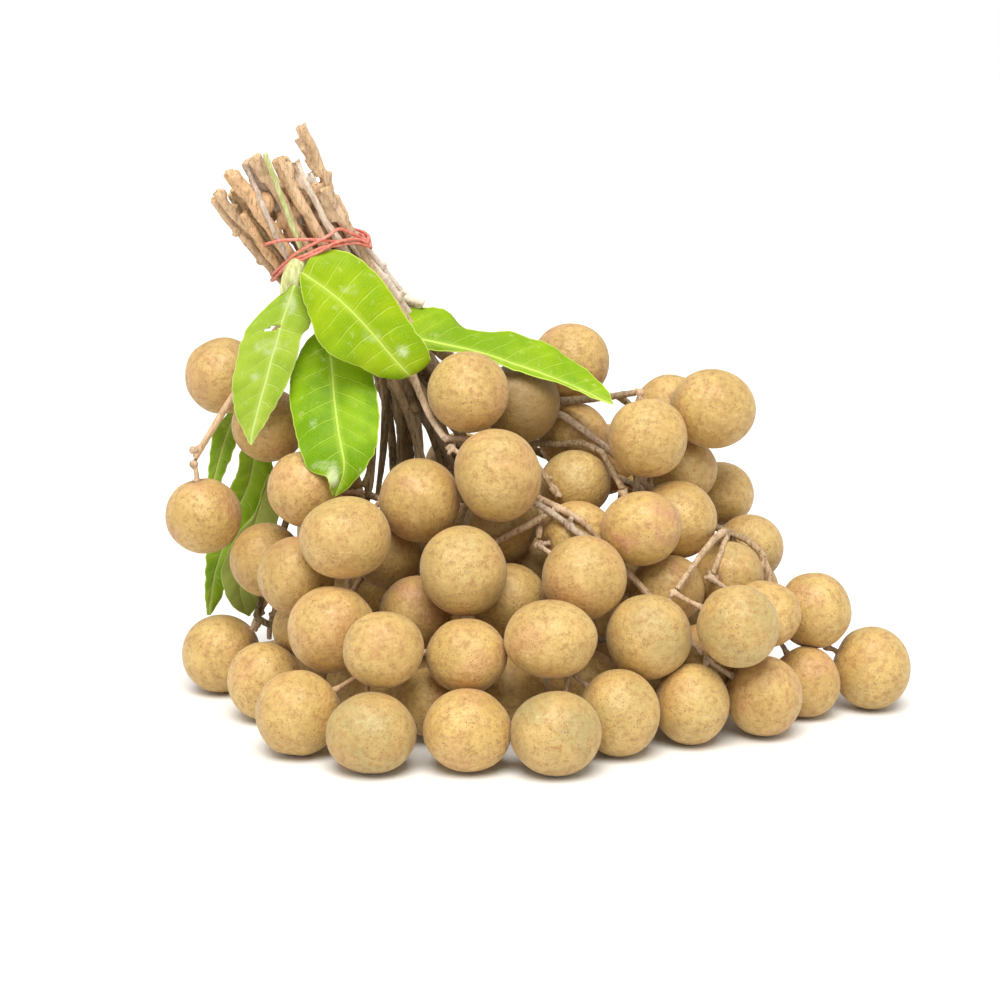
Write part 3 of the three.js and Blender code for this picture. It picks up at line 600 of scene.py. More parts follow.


# ---------------------------------------------------------------- fruit pieces
# Fruit whose own shape shows: its place in the view, its width and height there against the CAD ball, how far
# it leans (degrees), how green and red its skin is, and how much painted shade darkens it.
FRUIT_LOOKS = [
    (221, 654, 1.01, 1.02, 0, 0.1, 0.3, 0.0),
    (261, 681, 0.98, 1.03, 10, 0.1, 0.35, 0.0),
    (298, 713, 1.0, 1.0, 0, 0.15, 0.1, 0.0),
    (371, 727, 1.06, 0.95, 0, 0.75, 0.1, 0.1),
    (465, 729, 1.04, 0.965, -8, 0.0, 0.35, 0.0),
    (553, 724, 1.04, 0.96, 0, 1.0, 0.0, 0.08),
    (619, 711, 0.95, 1.03, 0, 0.5, 0.0, 0.0),
    (692, 706, 0.97, 1.04, 0, 0.35, 0.1, 0.0),
    (765, 698, 0.97, 1.02, 0, 0.1, 0.4, 0.1),
    (805, 681, 0.98, 1.02, 0, 0.1, 0.5, 0.1),
    (872, 671, 0.98, 1.05, 0, 0.4, 0.0, 0.0),
    (382, 650, 1.03, 0.96, 12, 0.25, 0.1, 0.0),
    (466, 656, 1.04, 0.96, 0, 0.1, 0.3, 0.05),
    (551, 638, 1.08, 0.91, 0, 0.15, 0.3, 0.05),
    (648, 637, 1.01, 0.99, 0, 0.6, 0.05, 0.1),
    (332, 629, 1.01, 1.0, 0, 0.15, 0.2, 0.0),
    (738, 626, 0.98, 1.01, 20, 0.7, 0.0, 0.0),
    (463, 571, 0.98, 1.03, 15, 0.45, 0.15, 0.05),
    (587, 577, 1.0, 1.0, 0, 0.25, 0.25, 0.05),
    (345, 538, 1.06, 0.95, 6, 0.3, 0.15, 0.0),
    (640, 530, 1.04, 0.96, 8, 0.0, 0.8, 0.05),
    (679, 522, 1.02, 1.0, 0, 0.25, 0.0, 0.0),
    (420, 500, 0.97, 1.02, 0, 0.1, 0.45, 0.1),
    (498, 476, 0.95, 1.06, 10, 0.3, 0.25, 0.0),
    (305, 489, 1.0, 1.0, 0, 0.1, 0.3, 0.0),
    (203, 515, 1.0, 1.0, 0, 0.0, 0.5, 0.1),
    (468, 392, 1.0, 1.0, 0, 0.05, 0.35, 0.05),
    (520, 403, 1.0, 1.03, 0, 1.0, 0.0, 0.95),
    (571, 362, 1.0, 1.0, 0, 0.0, 0.6, 0.05),
    (574, 437, 1.0, 0.98, 0, 0.1, 0.3, 0.0),
    (575, 483, 1.0, 0.96, 0, 0.4, 0.0, 0.0),
    (648, 438, 1.0, 1.0, 0, 0.15, 0.15, 0.0),
    (713, 409, 1.05, 0.97, -10, 0.1, 0.2, 0.0),
    (224, 376, 1.02, 1.0, 0, 0.1, 0.4, 0.0),
    (814, 611, 0.98, 1.02, 0, 0.1, 0.4, 0.1),
    (297, 577, 1.0, 1.03, 0, 0.0, 0.6, 0.35),
    (266, 560, 1.0, 1.03, 0, 0.0, 0.5, 0.35),
    (268, 425, 1.0, 1.0, 0, 0.1, 0.5, 0.2),
    (494, 522, 1.0, 1.0, 0, 0.2, 0.4, 0.5),
    (413, 615, 1.0, 1.0, 0, 0.0, 0.8, 0.4),
    (388, 556, 1.0, 1.0, 0, 0.2, 0.3, 0.4),
]
NEAR = 9.0  # pixels within which a fruit is one of those
HIDDEN = 100.0  # Y of the sheet's frame past which a fruit is none of them


def look_of(centre, rng):
    """The looks of the fruit at a place: width, height, lean and tone, whose last part is painted shade."""
    # Other fruit get a little painted shade at random.
    tone = (rng.uniform(0, 0.5), rng.uniform(0, 0.5), abs(rng.normal(0.05, 0.08)))
    spot = in_view(centre)
    for x, y, *look in FRUIT_LOOKS:
        if math.hypot(spot[0] - x, spot[1] - y) < NEAR and (centre + BASE_MIDDLE)[1] < HIDDEN:
            return (*look[:3], look[3:])
    return 1.0 + rng.uniform(-0.02, 0.05), 1.0 + rng.uniform(-0.05, 0.02), rng.uniform(-15, 15), tone


def fruit_piece(index, node, balls, fork):
    """The fruits of a group, as one piece."""
    rng = np.random.default_rng(100 + index)
    parts, poles, tones = [], [], []
    for centre, radius in balls:
        wide, tall, lean, tone = look_of(centre, rng)
        points, angle = fruit_shape(centre, radius, unit(fork - centre), wide, tall, lean, rng)
        parts.append((points, BALL_FACES))
        poles.append(angle)
        tones.append(np.tile(tone, (len(points), 1)))
    attributes = {"pole": np.concatenate(poles), "tone": np.vstack(tones)}
    make_piece(node + "_skin", *join(parts), SKIN, "skin", [node], attributes)


STALK_POINTS = 9
STALK_RADIUS = 0.85
STALK_VOXEL = 0.3


def stalk_piece(index, node, balls, fork):
    """The forked stalk of a group, thicker at each fruit and at the fork, with two broken shoots."""
    rng = np.random.default_rng(500 + index)
    parts = [lump(fork, 1.5, np.array([1.1, 0.9, 1.0]))]
    share = np.linspace(0, 1, STALK_POINTS)
    radii = STALK_RADIUS + 0.55 * bell(share, 0.16) + 0.35 * bell(1 - share, 0.2)
    for centre, radius in balls:
        towards = unit(fork - centre)
        start = centre + towards * radius * 0.93
        bend = np.cross(towards, unit(rng.normal(size=3))) * rng.uniform(0.2, 0.6)
        parts.append(tube(spline([start, (start + fork) / 2 + bend, fork], STALK_POINTS), radii, 8))
    for _ in range(2):
        way = unit(rng.normal(size=3))
        parts.append(tube(spline([fork, fork + way * rng.uniform(2.0, 3.0)], 3), [0.8, 0.75, 0.7], 7))
    verts, faces, normals = remesh("stalk", *join(parts), STALK_VOXEL, 2, 0.55)
    verts = verts + normals * (0.12 * wobble(verts, 0.8, index))[:, None]
    verts[:, 2] = np.maximum(verts[:, 2], ON_FLOOR)
    tone = (rng.uniform(0, 0.4), rng.uniform(0, 0.5), rng.uniform(0, 0.2))
    attributes = {"tone": np.tile(tone, (len(verts), 1)), "cut": np.zeros(len(verts))}
    make_piece(node + "_stalk", verts, faces, BARK, "bark", [node], attributes)


for index, cluster in enumerate(CLUSTERS):
    fruit_piece(index, *cluster)
    stalk_piece(index, *cluster)

# ---------------------------------------------------------------- stems
# The bundle's own frame: its middle at the tie, and the ways down along it, aside and deep into it.
TIE_PLACE = (-53, 74.3, 75)
TIE = at(*TIE_PLACE)
DOWN = unit(at(-19.6, 24.6, 91) - TIE)
ASIDE = unit(at(TIE_PLACE[0] + 0.825, TIE_PLACE[1] + 0.565, TIE_PLACE[2]) - TIE)
DEEP = unit(np.cross(ASIDE, DOWN))


def in_bundle(below, aside, deep):
    return TIE + DOWN * below + ASIDE * aside + DEEP * deep


def of_bundle(points):
    """How far aside, deep and below the tie the points are."""
    return (np.asarray(points) - TIE) @ np.stack([ASIDE, DEEP, DOWN], 1)


# name: where it is cut (aside, deep) and how far above the tie, its radius there, its tone (orange, grey and
# dark, or pale below 0), and how much thinner it gets above the tie.
STEMS = {
    "stem_left": ((-18.2, -2), 40, 1.8, (0.4, 0.1, -0.15), 0.2),
    "stem_thick": ((-9.3, -7.4), 43, 2.6, (0.9, 0, 0), 0.1),
    "stem_front": ((9, -3.4), 34, 2.2, (0.2, 0.1, -0.55), 0.85),
    "stem_middle": ((0.2, -6.6), 43.5, 2.3, (0.5, 0.2, -0.1), 0.3),
    "stem_twisted": ((5.4, -6.2), 38.5, 2.4, (0.55, 0.1, 0), 0.3),
    "stem_top": ((12.4, -3.6), 21, 2.5, (0.3, 0.25, -0.1), 0.4),
    "stem_right": ((11.4, 1.4), 27, 1.9, (0.0, 0.4, -0.8), 0.6),
    "stem_forked": ((17.2, 1), 41.5, 2.3, (0.4, 0.05, -0.15), 0.35),
    "stem_far_right": ((5.4, 5.4), 35, 2.2, (0.4, 0.1, 0), 0.3),
    "stem_back_left": ((-13, 1.6), 37, 2.1, (0.4, 0.1, 0.3), 0.2),
    "stem_back": ((-1.6, 6), 39, 2.3, (0.3, 0.3, 0.1), 0.1),
    "stem_core": ((-4.4, -2.6), 43, 2.2, (0.0, 0.9, -0.2), 0.35),
}
SHADE_BELOW = (28.0, 60.0)  # wood gets greyer and darker between these distances below the tie: partly its own colour, partly painted shade
SHADE_INSIDE = (3.0, 15.0)  # and, inside the heap, stems darker still with painted shade from the first to the second Y
RIDGE = 0.2  # height of each kind of relief
RIDGES_DRAWN = (1, 1, 0.28)  # the finer relief is drawn out along the bundle
SWAY = 1.1  # how far wood sways aside above the tie
SWAY_LENGTH = 11.0  # from one bend to the next
FULL_ABOVE = 12  # how far above the tie the sway is full
CUT_WIDE = 4.5  # how far from the middle of a cut its points may lie
JAG = 0.9  # how far the fibres of a cut end in or out of it
JAG_DEEP = 2.0


def bark(parts, ends, tone, seed, voxel, slim=0.0, shade=0.2, inside=0.0):
    """Parts melted together, with the relief of bark: (points, faces, tones, how far each is on a cut)."""
    verts, faces, normals = remesh("bark", *join(parts), voxel, 2, 0.4)
    place = of_bundle(verts)
    drawn = place * RIDGES_DRAWN
    kinds = ((drawn, 0.8, 0), (drawn, 1.9, 20), (verts, 4.0, 50))
    ridges = sum(RIDGE * wobble(points, size, seed + shift) for points, size, shift in kinds)
    above = np.clip(-place[:, 2] / FULL_ABOVE, 0, 1)
    sway = np.stack([wobble(place * [0, 0, 1], SWAY_LENGTH, seed + shift) for shift in (5, 9)], 1)
    verts = verts + normals * (ridges * (0.55 + 0.45 * above) + 0.12 * above - 0.06 - slim * above)[:, None]
    verts = verts + (sway * above[:, None] * SWAY) @ np.stack([ASIDE, DEEP])
    cut = np.zeros(len(verts))
    for end, inward in ends:
        deep = (verts - end) @ inward
        near = np.linalg.norm(verts - end, axis=1) < CUT_WIDE
        jag = np.where(near & (deep < JAG_DEEP), JAG * wobble(place, 0.9, seed + 3), 0)
        verts = verts + inward * jag[:, None]
        facing_out = np.abs(normals @ inward) > 0.5
        cut = np.maximum(cut, near * facing_out * np.clip(1.6 - np.abs(deep) / 0.5, 0, 1))
    verts[:, 2] = np.maximum(verts[:, 2], ON_FLOOR)
    low = share_between(place[:, 2], *SHADE_BELOW)
    # Below the tie the wood gets greyer and darker: partly its own colour, partly painted shade in the heap.
    tones = np.tile(np.array(tone, float), (len(verts), 1)) + np.outer(low, [-0.5 * tone[0], 0.12, shade])
    # Painted shade: deep inside the heap the wood is darker still.
    tones[:, 2] += inside * low * share_between(verts[:, 1], *SHADE_INSIDE)
    return verts, faces, tones, cut


def share_between(values, low, high):
    return np.clip((values - low) / (high - low), 0, 1)


TIE_REACH = 24  # how far from the tie the band may need to know the wood
AT_TIE = []  # the points of every woody piece there, aside, deep and below, for the band to lie on


def bark_piece(name, shapes, nodes=()):
    """One piece of several shapes from bark()."""
    verts, faces = join([shape[:2] for shape in shapes])
    place = of_bundle(verts)
    AT_TIE.append(place[np.abs(place[:, 2]) < TIE_REACH])
    tones, cuts = np.vstack([shape[2] for shape in shapes]), np.concatenate([shape[3] for shape in shapes])
    make_piece(name, verts, faces, BARK, "bark", nodes, {"tone": tones, "cut": cuts})


def stub(start, way, length, radius):
    """A short side shoot that was broken off."""
    way = unit(way)
    line = spline([start - way * radius, start + way * length * 0.5, start + way * length], 5)
    return tube(line, radius * np.array([1.25, 1.05, 1, 0.95, 1.05]), 8)


KNOBS = 3  # knobs and broken shoots at random places of each stem
BROKEN_SHOOTS = 2
SHOOT_RADIUS = 0.75
STEM_VOXEL = 0.4
STICK_VOXEL = 0.35
# More of the shape of some stems at their cut tops: tubes of (x, y, back) in the view, and their radii.
TOPS = {
    "stem_forked": [
        ([(297, 138, 68), (303, 151, 68.5), (311, 163, 69.5), (318, 178, 70.5)], 1.25),
        ([(329, 172, 71), (328, 180, 72), (331, 190, 73)], 1.5),
        ([(336, 196, 72.5), (342, 210, 74.5), (347, 228, 77)], 1.6),
    ],
    "stem_twisted": [
        ([(275, 160, 60.5), (281, 172, 61), (288, 186, 62)], 1.7),
        ([(288, 163, 61), (292, 175, 62), (290, 187, 62.5)], 1.4),
    ],
    "stem_middle": [([(252, 158, 59.5), (258, 166, 60), (266, 181, 61)], 1.9)],
    "stem_thick": [([(228, 171, 58.5), (236, 182, 59.5), (244, 194, 60.5)], 2.0)],
    "stem_top": [([(318, 194, 67.5), (325, 207, 68), (333, 222, 69.5)], 1.7)],
}


def stem_piece(index, name, tip, above, radius, tone, slim):
    """The CAD stem with knobs, broken shoots and its cut top."""
    rng = np.random.default_rng(900 + index)
    end = in_bundle(-above, *tip)
    parts = [cad_mesh(name)]
    inward = unit(TIE - end)
    for _ in range(KNOBS):
        spot = end + inward * rng.uniform(2, above - 4)
        parts.append(lump(spot, radius * rng.uniform(1.1, 1.25), np.array([1, 1, 1.2])))
    for _ in range(BROKEN_SHOOTS):
        way = unit(rng.normal(size=3)) * [1, 0.6, 1] - inward * 1.2 - DEEP * 0.3
        spot = end + inward * rng.uniform(4, above - 6)
        parts.append(stub(spot, way, radius + rng.uniform(0.8, 1.8), SHOOT_RADIUS))
    for points, thick in TOPS.get(name, ()):
        parts.append(tube(view_line(points, 7), thick, 8))
    shape = bark(parts, [(end, inward)], tone, index, STEM_VOXEL, slim, inside=0.5)
    bark_piece(name + "_bark", [shape], [name])


for index, (name, stem) in enumerate(STEMS.items()):
    stem_piece(index, name, *stem)

# Sticks that are too many to be named parts: their radius, tone and line of (x, y, back) in the view.
# These stand in the bundle above the tie.
STICKS = {
    "left": (1.35, (0.35, 0.15, -0.15), [
        (213, 198, 67), (232, 224, 69), (252, 248, 72), (270, 268, 74), (286, 287, 77)]),
    "dark": (1.4, (0.1, 0.1, 0.55), [
        (231, 194, 73), (243, 214, 74), (257, 238, 76), (272, 262, 77), (287, 284, 79)]),
    "grey": (0.95, (0, 0.95, -0.1), [
        (247, 168, 62.5), (253, 181, 61), (260, 199, 59.6), (265, 210, 59.3), (270, 221, 60.4),
        (275, 232, 61.7), (279, 241, 63), (283, 250, 64), (288, 262, 66)]),
    "behind_left": (1.4, (0.2, 0, 0.1), [
        (228, 210, 76), (240, 226, 77), (254, 244, 78), (270, 264, 79), (300, 292, 80)]),
    "behind_thick": (1.6, (0.2, 0, 0.15), [
        (241, 203, 77), (254, 222, 78), (269, 242, 79), (286, 264, 80), (312, 294, 81)]),
    "pale": (1.45, (0.9, 0, 0), [(243, 213, 62), (252, 229, 64), (265, 249, 67.5), (281, 271, 71)]),
    "brown": (1.6, (0.3, 0, 0.35), [(262, 176, 71), (276, 205, 73), (292, 236, 75), (308, 262, 77)]),
    "thin": (1.1, (0.3, 0.1, 0.15), [(294, 190, 65), (303, 210, 67), (313, 236, 70), (322, 258, 73)]),
    "short": (1.4, (0.3, 0.2, 0.2), [(332, 206, 72), (341, 224, 74.5), (352, 243, 77), (366, 262, 80)]),
}
# These run down its right side into the heap.
SIDE_STICKS = {
    "side_front": (1.55, (0.25, 0.2, -0.7), [
        (347, 238, 71), (358, 251, 72.5), (369, 262, 74.5), (379, 273, 76.5), (389, 285, 79),
        (397, 297, 81), (405, 309, 83.5), (420, 330, 87), (433, 362, 91), (446, 398, 95), (458, 432, 96)]),
    "side_back": (1.3, (0.25, 0.3, -0.7), [
        (349, 229, 76), (360, 241, 78), (370, 252, 80), (381, 266, 82), (390, 278, 84), (399, 289, 86),
        (409, 300, 88), (425, 318, 91), (439, 346, 95), (455, 385, 99), (470, 424, 100)]),
    "side_thin": (1.2, (0.3, 0.2, -0.5), [
        (352, 237, 83), (365, 252, 85), (378, 268, 87), (391, 285, 89), (405, 302, 91), (438, 335, 95),
        (456, 362, 99), (474, 398, 103), (486, 430, 103)]),
}
# These run from the tie into the heap behind the low leaf, and have only the dark part of a tone, which is
# partly dark bark and partly painted shade.
CORES = {
    "core_a": (2.3, 0.55, [
        (341, 246, 76), (354, 272, 82), (372, 312, 88), (392, 372, 91), (401, 430, 92), (397, 500, 92)]),
    "core_b": (2.5, 0.45, [
        (343, 247, 75), (358, 273, 80), (380, 318, 86), (402, 378, 87), (417, 430, 88), (420, 482, 88)]),
    "core_c": (2.1, 0.5, [
        (346, 248, 77), (364, 277, 83), (388, 324, 89), (411, 384, 93), (431, 430, 95), (443, 472, 97)]),
    "core_d": (1.9, 0.4, [
        (344, 245, 79), (361, 274, 86), (386, 320, 93), (413, 374, 97), (440, 422, 99), (458, 462, 101)]),
    "core_e": (1.8, 0.6, [
        (338, 246, 77), (350, 272, 84), (368, 316, 91), (384, 380, 94), (384, 440, 95), (377, 500, 94)]),
    "core_f": (2.1, 0.6, [
        (340, 245, 79), (353, 272, 86), (374, 318, 93), (394, 400, 97), (408, 460, 98), (408, 520, 97)]),
    "core_g": (1.5, 0.3, [
        (350, 252, 75), (370, 286, 80), (395, 332, 84), (419, 387, 84), (440, 430, 83), (452, 462, 84)]),
    "core_h": (2.2, 0.5, [
        (336, 243, 80), (345, 268, 87), (363, 325, 97), (380, 380, 100), (391, 430, 100), (395, 508, 92)]),
    "core_i": (2.2, 0.4, [
        (342, 243, 81), (357, 270, 89), (381, 325, 99), (404, 380, 103), (416, 430, 103), (424, 512, 93)]),
    "core_j": (2.1, 0.4, [
        (346, 244, 81), (365, 273, 89), (397, 332, 99), (425, 385, 103), (442, 425, 103), (456, 500, 93)]),
    "core_k": (1.8, 0.3, [
        (349, 246, 80), (370, 278, 87), (408, 337, 95), (434, 384, 98), (452, 418, 98), (468, 470, 93)]),
    "core_l": (2.0, 0.4, [
        (340, 242, 82), (350, 272, 91), (372, 335, 102), (396, 395, 106), (408, 440, 105), (416, 515, 95)]),
    "core_m": (1.9, 0.3, [
        (345, 243, 82), (361, 272, 91), (392, 335, 102), (420, 392, 106), (436, 430, 105), (446, 502, 96)]),
}
# These are bare twigs among the fruit.
TWIGS = {
    "spur_left": (0.85, (0.2, 0.4, 0.1), [
        (202, 444, 72), (199, 448, 72), (195, 450, 71.6), (192, 450, 71.3)]),
    "twig_front": (1.2, (0.1, 0.6, 0.1), [
        (531, 501, 52), (547, 510, 49.5), (563, 521, 46.3), (578, 533, 42.8), (590, 540, 41.2)]),
    "twig_upper": (1.05, (0.4, 0.1, 0.15), [
        (533, 459, 66), (541, 470, 66), (548, 481, 65.5), (556, 492, 65)]),
    "twig_left": (0.95, (0.3, 0.3, 0.1), [(276, 588, 76), (266, 602, 76), (258, 616, 75), (255, 628, 75)]),
    "twig_left_low": (1.0, (0.4, 0.2, 0.1), [(281, 598, 77), (274, 611, 77), (270, 625, 77), (269, 640, 77)]),
}
# Knobs and broken shoots on them: where each starts and ends in the view, and its radius.
SHOOTS = {
    "left": [((236, 230, 68.5), (234, 236, 68), 0.9), ((262, 259, 73), (258, 264, 73), 1.1)],
    "side_back": [((382, 267, 82), (386, 263, 81.5), 1.1), ((405, 298, 86), (424, 304, 85), 1.4)],
    "side_front": [((399, 298, 81), (405, 291, 80), 1.2)],
    "core_g": [((436, 414, 82), (431, 409, 80.5), 1.1)],
    "spur_left": [((193, 450, 71.4), (190, 450, 71.0), 1.35)],
    "twig_front": [((569, 525, 45.3), (572, 517, 44), 1.1), ((590, 540, 41.2), (600, 544, 40.5), 1.2)],
    "twig_upper": [((555, 491, 65), (559, 497, 64.5), 1.5), ((548, 481, 65.5), (552, 477, 64.5), 0.9)],
    "twig_left": [((256, 624, 75), (253, 630, 74.5), 1.6), ((258, 616, 75), (264, 612, 74), 0.9)],
    "twig_left_low": [((272, 614, 77), (277, 611, 76), 1.0)],
}
STICK_PIECES = {"sticks": STICKS, "stick_sides": SIDE_STICKS, "stick_cores": CORES, "twigs": TWIGS}
CORE_TONE = (0.3, 0.2, 0.05)
CORE_SHADE = 0.15  # how much painted shade darkens a core stick below the tie, besides its dark tone


def stick_shape(index, name, radius, tone, places):
    """One stick's bark. A core stick also reaches up into the bundle, and gets thinner downwards."""
    rng = np.random.default_rng(1300 + index)
    count = max(10, 4 * len(places))
    points = [px(*place) for place in places]
    core = name.startswith("core")
    if core:
        points.insert(0, points[0] - DOWN * rng.uniform(9, 15))
    line = spline(points, count)
    radii = radius * (1 + 0.08 * np.sin(np.linspace(0, rng.uniform(6, 12), count) + rng.uniform(0, 6)))
    if core:
        radii = radii * (1 - 0.45 * np.linspace(0, 1, count) ** 3)
    parts = [tube(line, radii, 9)]
    for start, end, thick in SHOOTS.get(name, ()):
        a, b = px(*start), px(*end)
        parts += [stub(a, b - a, np.linalg.norm(b - a), thick), lump(a, max(radius, thick) * 1.12)]
    for _ in range(2):
        parts.append(lump(line[rng.integers(2, count - 2)], radius * rng.uniform(1.12, 1.3)))
    ends = [(line[0], unit(line[1] - line[0])), (line[-1], unit(line[-2] - line[-1]))]
    if core:
        return bark(parts, ends, CORE_TONE, 30 + index, STICK_VOXEL, shade=CORE_SHADE + tone)
    return bark(parts, ends, tone, 30 + index, STICK_VOXEL)


def stick_pieces():
    """One piece of each group of sticks. They are numbered through all groups, for their random draws."""
    index = 0
    for piece, sticks in STICK_PIECES.items():
        shapes = []
        for name, stick in sticks.items():
            shapes.append(stick_shape(index, name, *stick))
            index += 1
        bark_piece(piece, shapes)


stick_pieces()

# The swollen base of the front leaf stalk: two tubes of (x, y, back) in the view, and their radii.
STALK_BASE = (
    (
        [(300, 254, 65), (296, 263, 64), (291, 273, 63), (286, 284, 62.5), (281, 294, 62)],
        [1.3, 1.7, 2.1, 2.4, 2.6, 2.6, 2.5, 2.3, 2.0, 1.6, 1.2, 0.7],
    ),
    (
        [(302, 258, 64.5), (299, 268, 63.2), (297, 278, 62.4), (297, 287, 62)],
        [1.2, 1.5, 1.8, 1.9, 1.9, 1.8, 1.6, 1.4, 1.1, 0.8],
    ),
)


def leaf_stalk_piece(index, name, base=()):
    parts = [cad_mesh(name)] + [tube(view_line(points, len(radii)), radii, 12) for points, radii in base]
    verts, faces, normals = remesh(name, *join(parts), 0.35, 4, 0.5)
    verts = verts + normals * (0.1 * wobble(verts, 2.0, index))[:, None]
    make_piece(name + "_green", verts, faces, GREEN, "green_stalk", [name])


leaf_stalk_piece(0, "leaf_stalk_front", STALK_BASE)
leaf_stalk_piece(1, "leaf_stalk_back")

# ---------------------------------------------------------------- leaves
LEAF_THICKNESS = 0.45
LEAF_STATIONS = 72  # points along a blade
LEAF_SHARES = 15  # points from the midrib to a margin
NICK = 0.5  # how far the margin lies in or out of its smooth line
NICK_LENGTH = 2.3
RIPPLE = 0.45
RIPPLE_LENGTH = 13
QUILT = 0.11  # how high the blade swells between side veins
VEIN_BEND = 1.6
RIB = 0.5  # how far the midrib stands out of the underside
RIB_WIDTH = 0.7


def in_hole(point, x, y, long, short):
    """Whether a point shows within a slanting oval of the view."""
    across, down = in_view(point) - (x, y)
    turned = down + 0.25 * across
    return (across / long) ** 2 + (turned / short) ** 2 < 1


def leaf_faces(grid, hole):
    """Both sides of a blade, and the rim between them at its margin and its hole."""
    number = np.arange(grid[..., 0].size).reshape(grid.shape[:2])
    faces, edges = [], {}
    for i in range(len(number) - 1):
        for j in range(len(number[i]) - 1):
            if hole and in_hole(grid[i : i + 2, j : j + 2].reshape(-1, 3).mean(0), *hole):
                continue
            face = number[i, j], number[i + 1, j], number[i + 1, j + 1], number[i, j + 1]
            faces += [face, tuple(k + number.size for k in face[::-1])]
            edges |= dict.fromkeys(zip(face, face[1:] + face[:1]))
    return faces + [(b, a, a + number.size, b + number.size) for a, b in edges if (b, a) not in edges]


def signed_volume(verts, faces):
    total = 0.0
    for face in faces:
        a = verts[face[0]]
        for i in range(1, len(face) - 1):
            total += a @ np.cross(verts[face[i]], verts[face[i + 1]])
    return total / 6


def wear_and_glint_at(verts, spots):
    """How pale each point is made, by worn patches and by painted highlights where a leaf catches the light.
    A spot has its place, half width, half height in the view and strength.
    """
    shown = np.array([in_view(p) for p in verts])
    wear_and_glint = np.zeros(len(verts))
    for x, y, wide, tall, strength in spots:
        far = np.hypot((shown[:, 0] - x) / wide, (shown[:, 1] - y) / tall)
        wear_and_glint = np.maximum(wear_and_glint, np.clip(1.5 - 1.5 * far, 0, strength))
    return wear_and_glint


def leaf_piece(index, name, material, rows, cup, lean=0.45, hole=None, wear_and_glint=(), turned=False):
    """A blade. Each row holds a point of the midrib, of the left margin and of the right margin in the view,
    and how far back each is. Each half bulges by cup. A turned leaf shows its underside."""
    rails = [np.array([px(*row[r], row[3][r]) for row in rows]) for r in range(3)]
    # Every rail is read at the same stations, so that a cross-section stays one.
    station = np.linspace(0, len(rows) - 1, LEAF_STATIONS)
    mid, *margins = [rail_at(rail, station) for rail in rails]
    length = lengths_along(mid)
    edges = []
    for margin, seed in zip(margins, (3.0, 9.0)):
        nicks = np.array([noise.noise((v / NICK_LENGTH, index * 7.1, seed)) for v in length])
        edges.append(margin + unit(margin - mid) * (NICK * nicks * np.clip(station, 0, 1))[:, None])
    shares = np.linspace(0, 1, LEAF_SHARES)
    shares = np.concatenate([-shares[:0:-1], shares])[:, None]
    out = np.abs(shares)
    edge = np.array([edges[0] if share < 0 else edges[1] for share in shares])
    reach = np.linalg.norm(edge - mid, axis=2)
    grid = mid + (edge - mid) * out[:, :, None]
    normal = unit(np.cross(unit(np.gradient(grid, axis=0)), unit(np.gradient(grid, axis=1))))
    if normal[:, :, 1].mean() > 0:
        normal = -normal
    # A side vein runs lean times as far towards the tip as it runs out, and bends to the tip near the margin.
    along = length - (lean * out * reach + VEIN_BEND * out**3)
    phase = along / VEIN_STEP + np.where(shares > 0, 0.5, 0.0)
    quilt = -QUILT * np.cos(phase * 2 * np.pi) * np.sin(np.pi * out)
    bulge = cup * np.sin(np.pi * out) * np.clip(reach / 10, 0, 1)
    ripple = RIPPLE * np.sin(length * 2 * np.pi / RIPPLE_LENGTH + np.sign(shares) * 1.3 + index) * out**3
    grid = grid + normal * (bulge + ripple * np.clip(reach / 8, 0, 1) + quilt)[:, :, None]
    thick = LEAF_THICKNESS * (1 - 0.55 * out**2) * np.clip(reach / 2, 0.4, 1)
    rib = RIB * bell(out * reach, RIB_WIDTH) * np.clip(1 - length / length[-1], 0.15, 1)
    top = grid + normal * (thick / 2)[:, :, None]
    low = grid - normal * (thick / 2 + rib)[:, :, None]
    verts = np.vstack([top.reshape(-1, 3), low.reshape(-1, 3)])
    faces = leaf_faces(grid, hole)
    if signed_volume(verts, faces) < 0:
        faces = [f[::-1] for f in faces]
    under = np.repeat([1.0, 0.0] if turned else [0.0, 1.0], reach.size)
    blade = np.stack([along, np.broadcast_to(shares, reach.shape), reach], 2).reshape(-1, 3)
    attributes = {"blade": np.vstack([blade] * 2), "under": under, "wear_and_glint": wear_and_glint_at(verts, wear_and_glint)}
    make_piece(name + "_blade", verts, faces, material, "leaf", [name], attributes)


LEAF_CENTRE_ROWS = [
    [(302, 272), (300.5, 274), (303, 270), (61, 61, 61)],
    [(309, 277), (300, 283), (312, 257), (60, 60, 62.5)],
    [(322, 286), (304, 302), (334, 249.5), (59, 58.5, 63.5)],
    [(338.6, 299.1), (311, 321), (357, 257), (58, 56.5, 63)],
    [(355, 314.5), (318, 341), (378, 275), (57, 55, 62)],
    [(372, 333), (333, 356), (397, 302), (57, 54.5, 61)],
    [(389, 353), (358, 366.5), (415, 330), (57.5, 55.5, 60.5)],
    [(403, 368.5), (377, 375.5), (427.5, 347), (58.5, 57.5, 61)],
    [(409.5, 375), (386, 379), (430, 357), (60, 59.5, 62)],
    [(409, 375), (387, 377), (429, 360), (62.5, 62, 63.5)],
    [(403, 371), (386, 370), (419, 360), (64.5, 64, 65)],
    [(391, 360), (388, 362), (394, 358), (66, 66, 66)],
]
LEAF_CENTRE_WORN = ((403, 352, 9, 8, 0.8), (372, 336, 11, 7, 0.35), (350, 290, 10, 6, 0.3))
leaf_piece(0, "leaf_centre", LEAF, LEAF_CENTRE_ROWS, cup=0.9, lean=0.15, wear_and_glint=LEAF_CENTRE_WORN)

